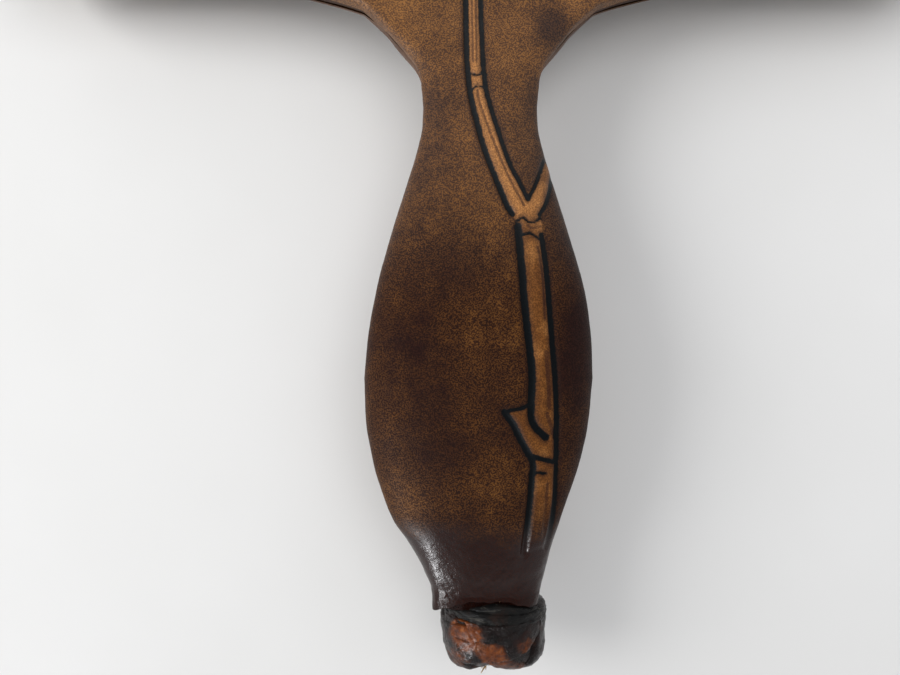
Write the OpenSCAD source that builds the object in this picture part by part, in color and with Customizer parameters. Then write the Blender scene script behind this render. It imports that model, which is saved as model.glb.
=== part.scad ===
// One hand carder of a pair: a wooden board with a tang and two handle cheeks, covered in leather,
// with wire card clothing on its working face and a braided leather knob on the end of its handle.
// Millimetres. X runs across the board, Y along the handle towards the board, Z up. The carder lies
// on the tips of its teeth, with its leather back up.

/* [Board] */
// Width of the wooden board
board_w = 208; // [160:1:230]
// Depth of the wooden board, in line with the handle
board_d = 110; // [90:1:130]
// Thickness of the board
board_t = 10; // [8:0.5:12]
// Thickness of the tang, which runs on from the board's upper side into the handle
tang_t = 5; // [4:0.5:6]
// Radius of the board's corners
corner_r = 9; // [6:1:20]

/* [Handle] */
// Length from the board's edge to the end of the knob
handle_len = 148.5; // [142:0.5:152]
// Widest part of the handle, over the leather
bulge_w = 47.8; // [40:0.2:54]
// Narrowest part of the handle, over the leather
neck_w = 23.8; // [22:0.2:30]
// Width of the handle where its flare turns outward into the board, over the leather
throat_w = 50; // [44:0.2:56]
// Width where the leather ends above the knob
skirt_w = 21.6; // [20:0.2:26]
// Rise of the upper cheek above the tang, at the bulge
rise_up = 8.4; // [6:0.2:11]
// Drop of the lower cheek below the tang, at the bulge
rise_down = 11.4; // [9:0.2:12]

/* [Leather] */
// Thickness of the leather
hide_t = 1.4; // [1:0.1:1.6]
// How far the back leather laps down over the board's edge
lap = 2.2; // [1.6:0.1:3]

/* [Knob] */
// Greatest width of the knob over its braid
knob_w = 22.6; // [19:0.2:24]
// Length of the knob and its collar
knob_len = 15; // [13:0.2:17]
// Thickness of the braided strap
strap_t = 1.1; // [0.8:0.1:1.4]
// Width of the braided strap
strap_w = 4.2; // [3:0.1:5]

/* [Card clothing] */
// Height of the wire points above the foundation
tooth_h = 8.8; // [7.8:0.2:11]
// Thickness of the foundation
foundation_t = 3.6; // [3:0.1:5]
// Thickness of the wire
wire = 0.6; // [0.4:0.1:0.7]
// Rows of staples
rows = 11; // [6:1:12]
// Staples in a row
columns = 20; // [12:1:22]

/* [Hidden] */
$fn = 48;
gap = 0.05;                             // clearance between pieces that are fitted together
over = 1;                               // how far a cutter runs past the face it opens

// Levels, from the tips of the teeth up
z_cloth = tooth_h;                      // face of the foundation that the teeth come out of
z_crown = z_cloth + foundation_t;       // back of the foundation, where the staples' crowns lie
z_board = z_crown + wire;               // underside of the board
z_back = z_board + board_t;             // top of the board
z_tang = z_back - tang_t;               // underside of the tang
z_mid = z_board + board_t / 2;          // middle of the board and of the knob
z_seam = z_tang + 1.5;                  // where the two leathers of the handle meet

// Places along the handle are distances s from the board's edge, towards the knob
y_edge = (handle_len - board_d - hide_t) / 2;
neck_s = 29.5;
bulge_s = 86;
skirt_s = handle_len - knob_len;        // the leather is cut off here
kink_s = 7.8;                           // the flare turns outward here, into the board's shoulders
spread = 38;                            // how far the shoulder beyond the kink runs along the board
join_s = kink_s + 1;                    // flat leather over the board meets the domed leather here

// Half widths between two named widths: [place, share of the way from the second width to the first]
flare = [[6, 1.22], [kink_s, 1], [9.2, 0.872], [10.9, 0.722], [12.4, 0.6], [14.3, 0.484], [16.9, 0.318],
    [19.3, 0.17], [22.5, 0.058], [26, 0.022], [neck_s, 0]];
swell = [[neck_s, 0], [34, 0.02], [38.2, 0.1], [46.6, 0.31], [57, 0.58], [66, 0.79], [76, 0.94],
    [bulge_s, 1]];
taper = [[bulge_s, 1], [94.9, 0.954], [101.2, 0.866], [107.5, 0.74], [115.9, 0.504], [120.1, 0.335],
    [124.3, 0.2], [128.5, 0.09], [skirt_s, 0]];
// Height of each cheek as a share of its height at the bulge: [place, share]
crown_up = [[8, 0.01], [10.5, 0.04], [16, 0.18], [neck_s, 0.38], [53, 0.74], [81, 1], [103, 0.94],
    [121, 0.66], [skirt_s, 0.44]];
crown_down = [[8, 0.01], [10.5, 0.06], [16, 0.26], [neck_s, 0.6], [53, 0.83], [81, 1], [103, 0.96],
    [121, 0.8], [skirt_s, 0.66]];

// Smooth curve through the points p, each [place, value], at the place s
function rate(p, i) =
    let (a = max(i - 1, 0), b = min(i + 1, len(p) - 1)) (p[b][1] - p[a][1]) / (p[b][0] - p[a][0]);
function span(p, s) = max([for (k = [0:len(p) - 2]) if (k == 0 || s >= p[k][0]) k]);
function blend(p, i, s) =
    let (w = p[i + 1][0] - p[i][0], t = (s - p[i][0]) / w)
    p[i][1] * (1 + 2 * t) * (1 - t) ^ 2 + rate(p, i) * w * t * (1 - t) ^ 2
    + p[i + 1][1] * t ^ 2 * (3 - 2 * t) + rate(p, i + 1) * w * t ^ 2 * (t - 1);
function along(p, s) = blend(p, span(p, s), s);

// Half width of the handle over its leather, past the kink
function handle_half(s) =
    s < neck_s ? neck_w / 2 + (throat_w - neck_w) / 2 * along(flare, s) :
    s < bulge_s ? neck_w / 2 + (bulge_w - neck_w) / 2 * along(swell, s) :
    skirt_w / 2 + (bulge_w - skirt_w) / 2 * along(taper, s);
// The leather is set in by d from its outer face; sideways that is more where the flare runs at a slant
function inset(s, d) = d * (1 + 0.4 * max(0, 1 - (s - kink_s) / 14));
function half_w(s, d) = handle_half(s) - inset(s, d);
// How far the handle's middle wanders sideways: [place, offset]
lean_from = 70;
wander = [[lean_from, 0], [88, -0.33], [101, -0.75], [110, -1], [115.5, -0.8], [120, 0.05], [124.5, 0.7],
    [129, 1.05], [skirt_s, 1.3]];
function lean(s) = s < lean_from ? 0 : along(wander, s);

// Outline of the board with its flare and handle, set in by d from the leather's outer face.
// The shoulder from the kink to the board's edge is a parabola that ends along the edge.
shoulder_steps = 6;
function kink_at(d) = kink_s - 0.7 * d;
function shoulder(d) = let (far = throat_w / 2 + spread, near = half_w(kink_at(d), d), e = hide_t - d)
    [for (k = [0:shoulder_steps]) let (t = k / shoulder_steps)
        [near + (far - near) * t, y_edge - e - (kink_at(d) - e) * (1 - t) ^ 2]];
function handle_places(a, b) = let (n = max(2, ceil((b - a) / 5))) [for (k = [0:n]) a + (b - a) * k / n];
function arc(cx, cy, r, from) = [for (a = [from:10:from + 90]) [cx + r * cos(a), cy + r * sin(a)]];
function right_half(d, end_s) =
    let (x = board_w / 2 - corner_r, y = y_edge + corner_r, r = corner_r + hide_t - d)
    concat([for (s = reversed(handle_places(kink_at(d) + 0.4, end_s))) [lean(s) + half_w(s, d), y_edge - s]],
        shoulder(d), arc(x, y, r, 270), arc(x, y + board_d - 2 * corner_r, r, 0));
function left_half(d, end_s) =
    let (x = board_w / 2 - corner_r, y = y_edge + corner_r, r = corner_r + hide_t - d)
    concat(arc(-x, y + board_d - 2 * corner_r, r, 90), arc(-x, y, r, 180),
        reversed([for (p = shoulder(d)) [-p[0], p[1]]]),
        [for (s = handle_places(kink_at(d) + 0.4, end_s)) [lean(s) - half_w(s, d), y_edge - s]]);
function outline(d, end_s) = concat(right_half(d, end_s), left_half(d, end_s));
// The board alone, set in by d
function plate(d) = let (x = board_w / 2 - corner_r, y = y_edge + corner_r, r = corner_r + hide_t - d)
    concat(arc(x, y, r, 270), arc(x, y + board_d - 2 * corner_r, r, 0),
        arc(-x, y + board_d - 2 * corner_r, r, 90), arc(-x, y, r, 180));
function reversed(p) = [for (k = [len(p) - 1:-1:0]) p[k]];

// Stations of the domed part of the handle, and one section across it: a superellipse that is round along
// the handle, and boxy on top at the flare. It runs from +X to -X over the top, or under it with up = -1.
dome_steps = 26;
arc_steps = 14;
function stations(from) = [for (k = [0:dome_steps]) from + (skirt_s - from) * (k / dome_steps) ^ 1.15];
function boxy(s, up) = up < 0 ? 2.2 : 2.3 + 3.7 * max(0, 1 - s / neck_s) ^ 2;
function section(s, d, h, z, up) = [for (k = [0:arc_steps])
    let (a = 180 * k / arc_steps, c = cos(a), e = 2 / boxy(s, up))
    [lean(s) + half_w(s, d) * sign(c) * abs(c) ^ e, y_edge - s, z + up * h * abs(sin(a)) ^ e]];

// Faces between rings of n points, and a closed solid through rings that each bound one flat end
function ring_sides(count, n) = [for (j = [0:count - 2]) for (i = [0:n - 1])
    let (a = j * n + i, b = j * n + (i + 1) % n) each [[a, b + n, b], [a, a + n, b + n]]];
module loft(rings) {
    n = len(rings[0]);
    last = (len(rings) - 1) * n;
    ends = [for (i = [1:n - 2]) each [[0, i, i + 1], [last, last + i + 1, last + i]]];
    polyhedron([for (r = rings) each r], concat(ring_sides(len(rings), n), ends));
}
// A closed wall through rings that each run along one face of the wall and back along the other
module wall(rings) {
    n = len(rings[0]);
    last = (len(rings) - 1) * n;
    ends = [for (i = [0:n / 2 - 2]) let (p = i, q = i + 1, u = n - 1 - i, v = n - 2 - i)
        each [[p, v, u], [p, q, v], [last + p, last + u, last + v], [last + p, last + v, last + q]]];
    polyhedron([for (r = rings) each r], concat(ring_sides(len(rings), n), ends));
}

dowel_r = 3;
dowel_places = [36, 78, 115];
shank = 1.1;                            // side of a tack's square shank
shank_len = 7;
tenon_r = 3.2;
tenon_len = 16;
collar_len = 3;
knob_r = knob_w / 2;
knob_x = lean(skirt_s) + 1.7;           // the knob sits a little off the handle's middle
knob_h = knob_len - collar_len;
core_r = knob_r - 2 * strap_t - gap;
core_h = knob_h - 2 * strap_t - gap;
waist_r = 6.5;                          // the core's waist, inside the collar

margin = 3;                             // bare board around the card clothing
cloth_w = board_w - 2 * margin;
cloth_d = board_d - 2 * margin;
cloth_y = y_edge + board_d / 2;
strip_w = 6;
strip_t = 1.2;
clear = 4;                              // between the border strips and the first wires
field_w = cloth_w - 2 * strip_w - 2 * clear;
field_d = cloth_d - 2 * strip_w - 2 * clear;
staple_w = field_w / (2 * columns - 1);
knee_h = 0.62 * tooth_h;                // the wire bends at its knee, this far above the foundation
knee_lean = 2;                          // and its tip leans this far towards the handle
tacks_wide = 10;
tacks_deep = 5;

// Places of the tacks, on the middle line of the border strips
tack_x = (cloth_w - strip_w) / 2;
tack_y = (cloth_d - strip_w) / 2;
tack_places = concat(
    [for (k = [0:tacks_wide - 1], side = [-1, 1])
        [(2 * k / (tacks_wide - 1) - 1) * tack_x, cloth_y + side * tack_y]],
    [for (k = [1:tacks_deep - 2], side = [-1, 1])
        [side * tack_x, cloth_y + (2 * k / (tacks_deep - 1) - 1) * tack_y]]);
// Places of the staples, each the middle of its crown; those on the field's border are the outer ones
function staple_at(r, c) =
    [(c + 0.5 - columns / 2) * 2 * staple_w, cloth_y + (r / (rows - 1) - 0.5) * field_d];
function is_outer(r, c) = r == 0 || r == rows - 1 || c == 0 || c == columns - 1;

module at_dowels(z) for (s = dowel_places) translate([lean(s), y_edge - s, z]) children();
module at_tacks(z) for (p = tack_places) translate([p[0], p[1], z]) children();
// The dowels stop inside the cheeks
function reach_up(s) = 0.5 * rise_up * along(crown_up, s);
function reach_down(s) = 0.5 * rise_down * along(crown_down, s);

// The knob's tenon is bored into the end of the handle, through tang and cheeks alike
module tenon_bore() translate([knob_x, y_edge - skirt_s - over, z_mid]) rotate([-90, 0, 0])
    cylinder(r = tenon_r, h = tenon_len + over);

module carding_board() color("burlywood") difference() {
    union() {
        translate([0, 0, z_board]) linear_extrude(board_t) polygon(plate(hide_t));
        translate([0, 0, z_tang]) linear_extrude(tang_t) polygon(outline(hide_t, skirt_s));
    }
    at_dowels(z_tang - over) cylinder(r = dowel_r, h = tang_t + 2 * over);
    at_tacks(z_board - over) translate([-shank / 2, -shank / 2, 0]) cube([shank, shank, shank_len]);
    tenon_bore();
}

// One cheek's dome; both thin out towards the board
cheek_s = kink_s + 0.5;
function cheek_rings(rise, line, z, up) =
    [for (s = stations(cheek_s)) section(s, hide_t, rise * along(line, s), z, up)];
module upper_cheek() color("tan") difference() {
    loft(cheek_rings(rise_up, crown_up, z_back, 1));
    for (s = dowel_places) translate([lean(s), y_edge - s, z_back - over])
        cylinder(r = dowel_r, h = over + reach_up(s));
}
module lower_cheek() color("tan") difference() {
    loft([for (r = cheek_rings(rise_down, crown_down, z_tang, -1)) reversed(r)]);
    for (s = dowel_places) translate([lean(s), y_edge - s, z_tang - reach_down(s)])
        cylinder(r = dowel_r, h = over + reach_down(s));
    tenon_bore();
}
module cheek_dowels() color("wheat") for (s = dowel_places)
    translate([lean(s), y_edge - s, z_tang - reach_down(s) + gap])
        cylinder(r = dowel_r - gap, h = tang_t + reach_down(s) + reach_up(s) - 2 * gap);

// Rings of the leather over one cheek: down one side to level low, over the dome, and down the other side
function hide_face(s, d, h, z, up, low) = concat([[lean(s) + half_w(s, d), y_edge - s, low]],
    section(s, d, h, z, up), [[lean(s) - half_w(s, d), y_edge - s, low]]);
function hide_ring(s, rise, line, z, up, low) = let (h = rise * along(line, s))
    concat(hide_face(s, 0, h + hide_t, z, up, low), reversed(hide_face(s, hide_t, h, z, up, low)));

// One piece of leather: flat over the board, lapped down around its edge, then domed over the upper cheek
module back_leather() color("saddlebrown") union() {
    difference() {
        translate([0, 0, z_back - lap]) linear_extrude(lap + hide_t) polygon(outline(0, join_s + over));
        translate([0, 0, z_back - lap - over]) linear_extrude(lap + over)
            polygon(outline(hide_t, join_s + 2 * over));
    }
    wall([for (s = stations(join_s)) hide_ring(s, rise_up, crown_up, z_back, 1, z_seam)]);
}

// The underside's leather: flat under the tang's flare, up to the edge band, then domed over the lower
// cheek. A small gap parts it from the back leather along the seam.
module under_leather() color("sienna") union() {
    intersection() {
        translate([0, 0, z_tang - hide_t]) linear_extrude(hide_t) polygon(outline(0, join_s + over));
        translate([-throat_w / 2 - spread, y_edge - handle_len, 0])
            cube([throat_w + 2 * spread, handle_len - hide_t - gap, z_back]);
    }
    wall([for (s = stations(join_s))
        reversed(hide_ring(s, rise_down, crown_down, z_tang, -1, z_seam - gap))]);
}

// Strip of darker leather below the lap of the back leather: around the board, and along the tang's flare
module edge_band() color("dimgray") difference() {
    union() {
        translate([0, 0, z_board]) linear_extrude(board_t - lap - gap) polygon(plate(0));
        translate([0, 0, z_tang + gap]) linear_extrude(tang_t - lap - 2 * gap)
            polygon(outline(0, join_s - gap));
    }
    translate([0, 0, z_board - over]) linear_extrude(board_t + 2 * over) polygon(plate(hide_t));
    translate([0, 0, z_tang]) linear_extrude(tang_t + over) polygon(outline(hide_t, join_s + 2 * over));
}

// Stitches across the seam on both sides of the handle
stitch_r = 0.35;
stitch_h = 3;
stitch_from = 25;
stitch_step = 3.2;
stitch_count = 32;
module seam_stitches() color("khaki") for (k = [0:stitch_count - 1], side = [-1, 1]) {
    s = stitch_from + k * stitch_step;
    translate([lean(s) + side * (half_w(s, 0) + stitch_r + 2 * gap), y_edge - s, z_seam - stitch_h / 2])
        cylinder(r = stitch_r, h = stitch_h);
}

// The knob is drawn about its own axis, which runs along Y: z is 0 where the collar meets the straps
module at_knob() translate([knob_x, y_edge - skirt_s - collar_len, z_mid]) rotate([90, 0, 0]) children();
// Quarter of a blunt dome of radius r and height h, from its foot to its top
function dome(r, h) = [for (a = [0:9:90]) [r * cos(a) ^ 0.8, h * sin(a) ^ 0.8]];

module knob_core() color("peru") at_knob() union() {
    rotate_extrude() polygon(concat(dome(core_r, core_h), [[0, 0]]));
    translate([0, 0, gap - collar_len]) cylinder(r = waist_r, h = collar_len);
    translate([0, 0, gap - collar_len - tenon_len]) cylinder(r = tenon_r - gap, h = tenon_len + over);
}
module knob_collar() color("black") at_knob() translate([0, 0, gap - collar_len]) difference() {
    cylinder(r = knob_r - 0.6, h = collar_len - 2 * gap);
    translate([0, 0, -over]) cylinder(r = waist_r + gap, h = collar_len + 2 * over);
}
// A strap that runs over the knob's end from one side of the collar to the other, lift above the core's top
module strap(lift) rotate([90, 0, 0]) translate([0, 0, -strap_w / 2]) linear_extrude(strap_w)
    polygon(concat(side_of(gap + strap_t, lift + strap_t), reversed(side_of(gap, lift))));
function side_of(out, lift) = let (d = dome(core_r + out, core_h + gap + lift))
    concat(d, [for (k = [len(d) - 2:-1:0]) [-d[k][0], d[k][1]]]);
module knob_straps() color("saddlebrown") at_knob() {
    rotate([0, 0, 45]) strap(0);
    rotate([0, 0, 135]) strap(strap_t);
}
// A strap around the knob, over the other two
module knob_girdle() color("chocolate") at_knob() translate([0, 0, gap]) difference() {
    cylinder(r = knob_r, h = strap_w);
    translate([0, 0, -over]) cylinder(r = knob_r - strap_t + gap, h = strap_w + 2 * over);
}

// The foundation has a square hole for each leg of each staple, and for each tack
module square_hole(w) translate([-w / 2, -w / 2, z_cloth - over]) cube([w, w, foundation_t + 2 * over]);
module card_foundation() color("beige") difference() {
    translate([-cloth_w / 2, cloth_y - cloth_d / 2, z_cloth]) cube([cloth_w, cloth_d, foundation_t]);
    for (r = [0:rows - 1], c = [0:columns - 1], side = [-1, 1])
        translate([staple_at(r, c)[0] + side * staple_w / 2, staple_at(r, c)[1], 0])
            square_hole(wire + 2 * gap);
    at_tacks(0) square_hole(shank + 2 * gap);
}

// One staple: a crown behind the foundation and two legs, each bent at its knee
module leg() rotate([90, 0, 90]) translate([0, 0, -wire / 2]) linear_extrude(wire) polygon([
    [wire / 2, z_crown + wire / 2], [-wire / 2, z_crown + wire / 2], [-wire / 2, z_cloth - knee_h],
    [-wire / 2 - knee_lean, 0], [wire / 2 - knee_lean, 0], [wire / 2, z_cloth - knee_h]]);
module staple() union() {
    translate([-staple_w / 2, 0, 0]) leg();
    translate([staple_w / 2, 0, 0]) leg();
    translate([-staple_w / 2 - wire / 2, -wire / 2, z_crown]) cube([staple_w + wire, wire, wire - gap]);
}
module staples(outer) for (r = [0:rows - 1], c = [0:columns - 1])
    if (is_outer(r, c) == outer) translate([staple_at(r, c)[0], staple_at(r, c)[1], 0]) staple();
module outer_staples() color("silver") staples(true);
module inner_staples() color("lightsteelblue") staples(false);

// Four strips around the edge of the card clothing
module border_strips() color("maroon") difference() {
    for (side = [-1, 1]) {
        translate([-cloth_w / 2, cloth_y + side * tack_y - strip_w / 2, z_cloth - strip_t])
            cube([cloth_w, strip_w, strip_t]);
        translate([side * tack_x - strip_w / 2, cloth_y - cloth_d / 2 + strip_w + gap, z_cloth - strip_t])
            cube([strip_w, cloth_d - 2 * strip_w - 2 * gap, strip_t]);
    }
    at_tacks(z_cloth - strip_t - over) translate([-shank / 2 - gap, -shank / 2 - gap, 0])
        cube([shank + 2 * gap, shank + 2 * gap, strip_t + 2 * over]);
}
tack_r = 2.2;
tack_t = 0.8;
tack_len = z_board + shank_len - over - gap - z_cloth + strip_t + tack_t / 2;
module border_tacks() color("gold") at_tacks(z_cloth - strip_t - tack_t) union() {
    cylinder(r1 = 0.6 * tack_r, r2 = tack_r, h = tack_t);
    translate([-shank / 2 + gap, -shank / 2 + gap, tack_t / 2])
        cube([shank - 2 * gap, shank - 2 * gap, tack_len]);
}

carding_board();
upper_cheek();
lower_cheek();
cheek_dowels();
back_leather();
under_leather();
edge_band();
seam_stitches();
knob_core();
knob_collar();
knob_straps();
knob_girdle();
card_foundation();
outer_staples();
inner_staples();
border_strips();
border_tacks();
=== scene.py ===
# Blender 4.5 scene of the hand carder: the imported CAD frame, with leather, braid, wire and wood laid over it.
# Lengths in this file are millimetres until a mesh is made; MM turns them into metres.
import math

import bpy
import numpy as np
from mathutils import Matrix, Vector


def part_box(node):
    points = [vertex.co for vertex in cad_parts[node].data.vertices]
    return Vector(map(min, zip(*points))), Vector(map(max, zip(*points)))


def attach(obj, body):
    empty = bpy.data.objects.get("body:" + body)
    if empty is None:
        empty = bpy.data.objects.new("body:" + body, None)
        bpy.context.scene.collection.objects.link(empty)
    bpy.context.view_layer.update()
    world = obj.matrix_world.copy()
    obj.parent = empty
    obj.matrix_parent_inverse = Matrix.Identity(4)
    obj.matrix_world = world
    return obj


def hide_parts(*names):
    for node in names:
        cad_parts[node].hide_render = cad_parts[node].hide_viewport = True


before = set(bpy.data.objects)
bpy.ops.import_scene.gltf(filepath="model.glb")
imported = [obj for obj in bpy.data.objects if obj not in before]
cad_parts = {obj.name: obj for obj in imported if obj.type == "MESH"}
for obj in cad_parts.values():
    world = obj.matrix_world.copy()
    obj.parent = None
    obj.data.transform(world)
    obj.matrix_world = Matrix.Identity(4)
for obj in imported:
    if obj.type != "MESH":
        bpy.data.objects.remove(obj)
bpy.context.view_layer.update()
MM = 0.001


# ---- sizes, read from the CAD frame
def box_mm(node):
    """A CAD node's box: its low and high corners."""
    lo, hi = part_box(node)
    return np.array(lo) / MM, np.array(hi) / MM


BOARD_LO, BOARD_HI = box_mm("carding_board")
CLOTH_LO, CLOTH_HI = box_mm("card_foundation")
HIDE_HI = box_mm("back_leather")[1]
UNDER_LO, UNDER_HI = box_mm("under_leather")
TOOTH_LO, TOOTH_HI = box_mm("outer_staples")
GIRDLE_LO, GIRDLE_HI = box_mm("knob_girdle")
STRAPS_LO = box_mm("knob_straps")[0]
STRIP_LO, STRIP_HI = box_mm("border_strips")
TACK_LO, TACK_HI = box_mm("border_tacks")

BOARD_D = 110.0                           # the board's size along the handle
Y_EDGE = BOARD_HI[1] - BOARD_D            # the board's edge, where the handle starts
Y_SKIRT = UNDER_LO[1]                     # the leather's cut end above the knob
SKIRT_S = Y_EDGE - Y_SKIRT
HIDE_T = HIDE_HI[0] - BOARD_HI[0]         # thickness of the leather
Z_BOARD, Z_BACK = BOARD_LO[2], BOARD_HI[2]
TANG_T = 5.0
Z_TANG = Z_BACK - TANG_T                  # underside of the tang
Z_TOP = Z_BACK + HIDE_T                   # the flat leather over the board
Z_SEAM = UNDER_HI[2]                      # where the two leathers of the handle meet
RISE_UP = HIDE_HI[2] - Z_TOP              # crown of the upper cheek at the bulge
RISE_DOWN = Z_TANG - HIDE_T - UNDER_LO[2]  # drop of the lower cheek at the bulge
LAP = 2.2                                 # how far the back leather laps down over the board's edge
CORNER = 9.0 + HIDE_T                     # radius of the leather's corners

# Widths over the leather, places along the handle, and how far the shoulders run out past the throat
BULGE_W, NECK_W, THROAT_W, SKIRT_W = 47.8, 23.8, 50.0, 21.6
NECK_S, BULGE_S, KINK_S, SPREAD = 29.5, 86.0, 7.8, 38.0

# Half widths between two named widths: (place, share); places are distances from the board's edge
FLARE = [(6, 1.22), (KINK_S, 1), (9.2, 0.872), (10.9, 0.722), (12.4, 0.6), (14.3, 0.484), (16.9, 0.318),
         (19.3, 0.17), (22.5, 0.058), (26, 0.022), (NECK_S, 0)]
SWELL = [(NECK_S, 0), (34, 0.02), (38.2, 0.1), (46.6, 0.31), (57, 0.58), (66, 0.79), (76, 0.94), (BULGE_S, 1)]
TAPER = [(BULGE_S, 1), (94.9, 0.954), (101.2, 0.866), (107.5, 0.74), (115.9, 0.504), (120.1, 0.335),
         (124.3, 0.2), (128.5, 0.09), (SKIRT_S, 0)]
# How far the handle's middle wanders sideways, and each cheek's height as a share of its height at the bulge
WANDER = [(70, 0), (88, -0.33), (101, -0.75), (110, -1), (115.5, -0.8), (120, 0.05), (124.5, 0.7),
          (129, 1.05), (SKIRT_S, 1.3)]
CROWN_UP = [(8, 0.01), (10.5, 0.04), (16, 0.18), (NECK_S, 0.38), (53, 0.74), (81, 1), (103, 0.94),
            (121, 0.66), (SKIRT_S, 0.44)]
CROWN_DOWN = [(8, 0.01), (10.5, 0.06), (16, 0.26), (NECK_S, 0.6), (53, 0.83), (81, 1), (103, 0.96),
              (121, 0.8), (SKIRT_S, 0.66)]


def along(points, s):
    """Smooth curve through (place, value) points, at each s."""
    p = np.array(points, float)
    s = np.asarray(s, float)
    n = len(p)
    lo, hi = np.maximum(np.arange(n) - 1, 0), np.minimum(np.arange(n) + 1, n - 1)
    rate = (p[hi, 1] - p[lo, 1]) / (p[hi, 0] - p[lo, 0])
    i = np.clip(np.searchsorted(p[:, 0], s, side="right") - 1, 0, n - 2)
    w = p[i + 1, 0] - p[i, 0]
    t = (s - p[i, 0]) / w
    return (p[i, 1] * (1 + 2 * t) * (1 - t) ** 2 + rate[i] * w * t * (1 - t) ** 2
            + p[i + 1, 1] * t ** 2 * (3 - 2 * t) + rate[i + 1] * w * t ** 2 * (t - 1))


def handle_half(s):
    """Half width over the leather, past the kink."""
    s = np.asarray(s, float)
    flare = NECK_W / 2 + (THROAT_W - NECK_W) / 2 * along(FLARE, s)
    swell = NECK_W / 2 + (BULGE_W - NECK_W) / 2 * along(SWELL, s)
    taper = SKIRT_W / 2 + (BULGE_W - SKIRT_W) / 2 * along(TAPER, s)
    return np.where(s < NECK_S, flare, np.where(s < BULGE_S, swell, taper))


def half_w(s):
    """Half width over the leather from the board's front edge to the leather's end."""
    s = np.asarray(s, float)
    far = THROAT_W / 2 + SPREAD
    t = np.sqrt(np.clip((s - HIDE_T) / (KINK_S - HIDE_T), 0, 1))
    shoulder = far - (far - THROAT_W / 2) * t
    return np.where(s < KINK_S, shoulder, handle_half(np.maximum(s, KINK_S)))


def held(points, s):
    """The curve through the points, with its first value before its first place."""
    s = np.asarray(s, float)
    return np.where(s < points[0][0], points[0][1], along(points, np.maximum(s, points[0][0])))


def lean(s):
    """How far the handle's middle is off to the +X side."""
    return held(WANDER, s)


# ---- small sums
def smooth(a, b, x):
    """0 before a, 1 after b, and a smooth step between them."""
    t = np.clip((np.asarray(x, float) - a) / (b - a), 0, 1)
    return t * t * (3 - 2 * t)


def bell(d, width, power=2):
    """1 where d is 0, and down to nothing beyond width."""
    return np.exp(-np.abs(d / width) ** power)


def unit(v):
    """Vectors made one long."""
    return v / np.maximum(np.linalg.norm(v, axis=-1, keepdims=True), 1e-9)


def xyz(x, y, z):
    """Points from their coordinates, each an array or a number."""
    return np.stack(np.broadcast_arrays(x, y, z), axis=-1)


def circle(count):
    """Angles evenly spaced around a circle."""
    return np.linspace(0, 2 * np.pi, count, endpoint=False)


def dome(w, h, n, count):
    """Upper half of a superellipse of half width w, height h and power n, from +X to -X: x, and height."""
    a = np.linspace(0, np.pi, count)
    c, d = np.cos(a), np.sin(a)
    r = (np.abs(c) ** n + np.abs(d) ** n) ** (-1 / n)
    return w * r * c, h * r * d


# ---- mesh helpers
def mesh_object(name, points, faces, **values):
    """A piece of the part, smooth shaded; values are stored at its points for its material to read."""
    me = bpy.data.meshes.new(name)
    me.from_pydata((np.reshape(points, (-1, 3)) * MM).tolist(), [], faces)
    me.validate()
    me.update()
    me.polygons.foreach_set("use_smooth", [True] * len(me.polygons))
    ob = bpy.data.objects.new(name, me)
    bpy.context.scene.collection.objects.link(ob)
    for key, value in values.items():
        stored = me.attributes.new(key, "FLOAT", "POINT")
        stored.data.foreach_set("value", np.asarray(value, np.float32).ravel())
    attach(ob, "root")
    return ob


def grid_faces(rows, cols, closed=False, first=0):
    """Quads of a rows x cols grid of vertices; closed joins the last column to the first."""
    i = first + np.arange(rows * cols).reshape(rows, cols)
    if closed:
        i = np.concatenate([i, i[:, :1]], axis=1)
    return np.stack([i[:-1, :-1], i[:-1, 1:], i[1:, 1:], i[1:, :-1]], axis=-1).reshape(-1, 4).tolist()


def grid_normals(p):
    """Unit normals of a grid of points, shape (rows, cols, 3)."""
    return unit(np.cross(np.gradient(p, axis=0), np.gradient(p, axis=1)))


def rim(rows, cols):
    """Numbers of a grid's outer points, in order around it."""
    i = np.arange(rows * cols).reshape(rows, cols)
    return np.concatenate([i[0, :-1], i[:-1, -1], i[-1, :0:-1], i[:0:-1, 0]])


def merge(parts):
    """Points and faces of one mesh, from several (points, faces)."""
    points, faces, first = [], [], 0
    for p, f in parts:
        points.append(np.reshape(p, (-1, 3)))
        faces += [[i + first for i in face] for face in f]
        first += len(points[-1])
    return np.vstack(points), faces


def tube(path, radius, sides):
    """A round rod along a path of points, closed at both ends; radius may differ along it."""
    path = np.asarray(path, float)
    ahead = unit(np.gradient(path, axis=0))
    side = unit(np.cross(ahead, (0, 0, 1) if abs(ahead[0, 2]) < 0.9 else (1, 0, 0)))
    other = np.cross(side, ahead)
    a = circle(sides)[None, :, None]
    r = np.broadcast_to(np.asarray(radius, float), (len(path),))[:, None, None]
    p = path[:, None] + r * (np.cos(a) * side[:, None] + np.sin(a) * other[:, None])
    faces = grid_faces(len(path), sides, closed=True)
    last = (len(path) - 1) * sides
    return p, faces + [list(range(sides))[::-1], [last + k for k in range(sides)]]


def resample(points, count):
    """The polyline, as count points evenly spaced along it."""
    step = np.linalg.norm(np.diff(points, axis=0), axis=1)
    at = np.concatenate([[0], np.cumsum(step)])
    want = np.linspace(0, at[-1], count)
    return np.stack([np.interp(want, at, points[:, k]) for k in range(points.shape[1])], axis=1)


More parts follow.
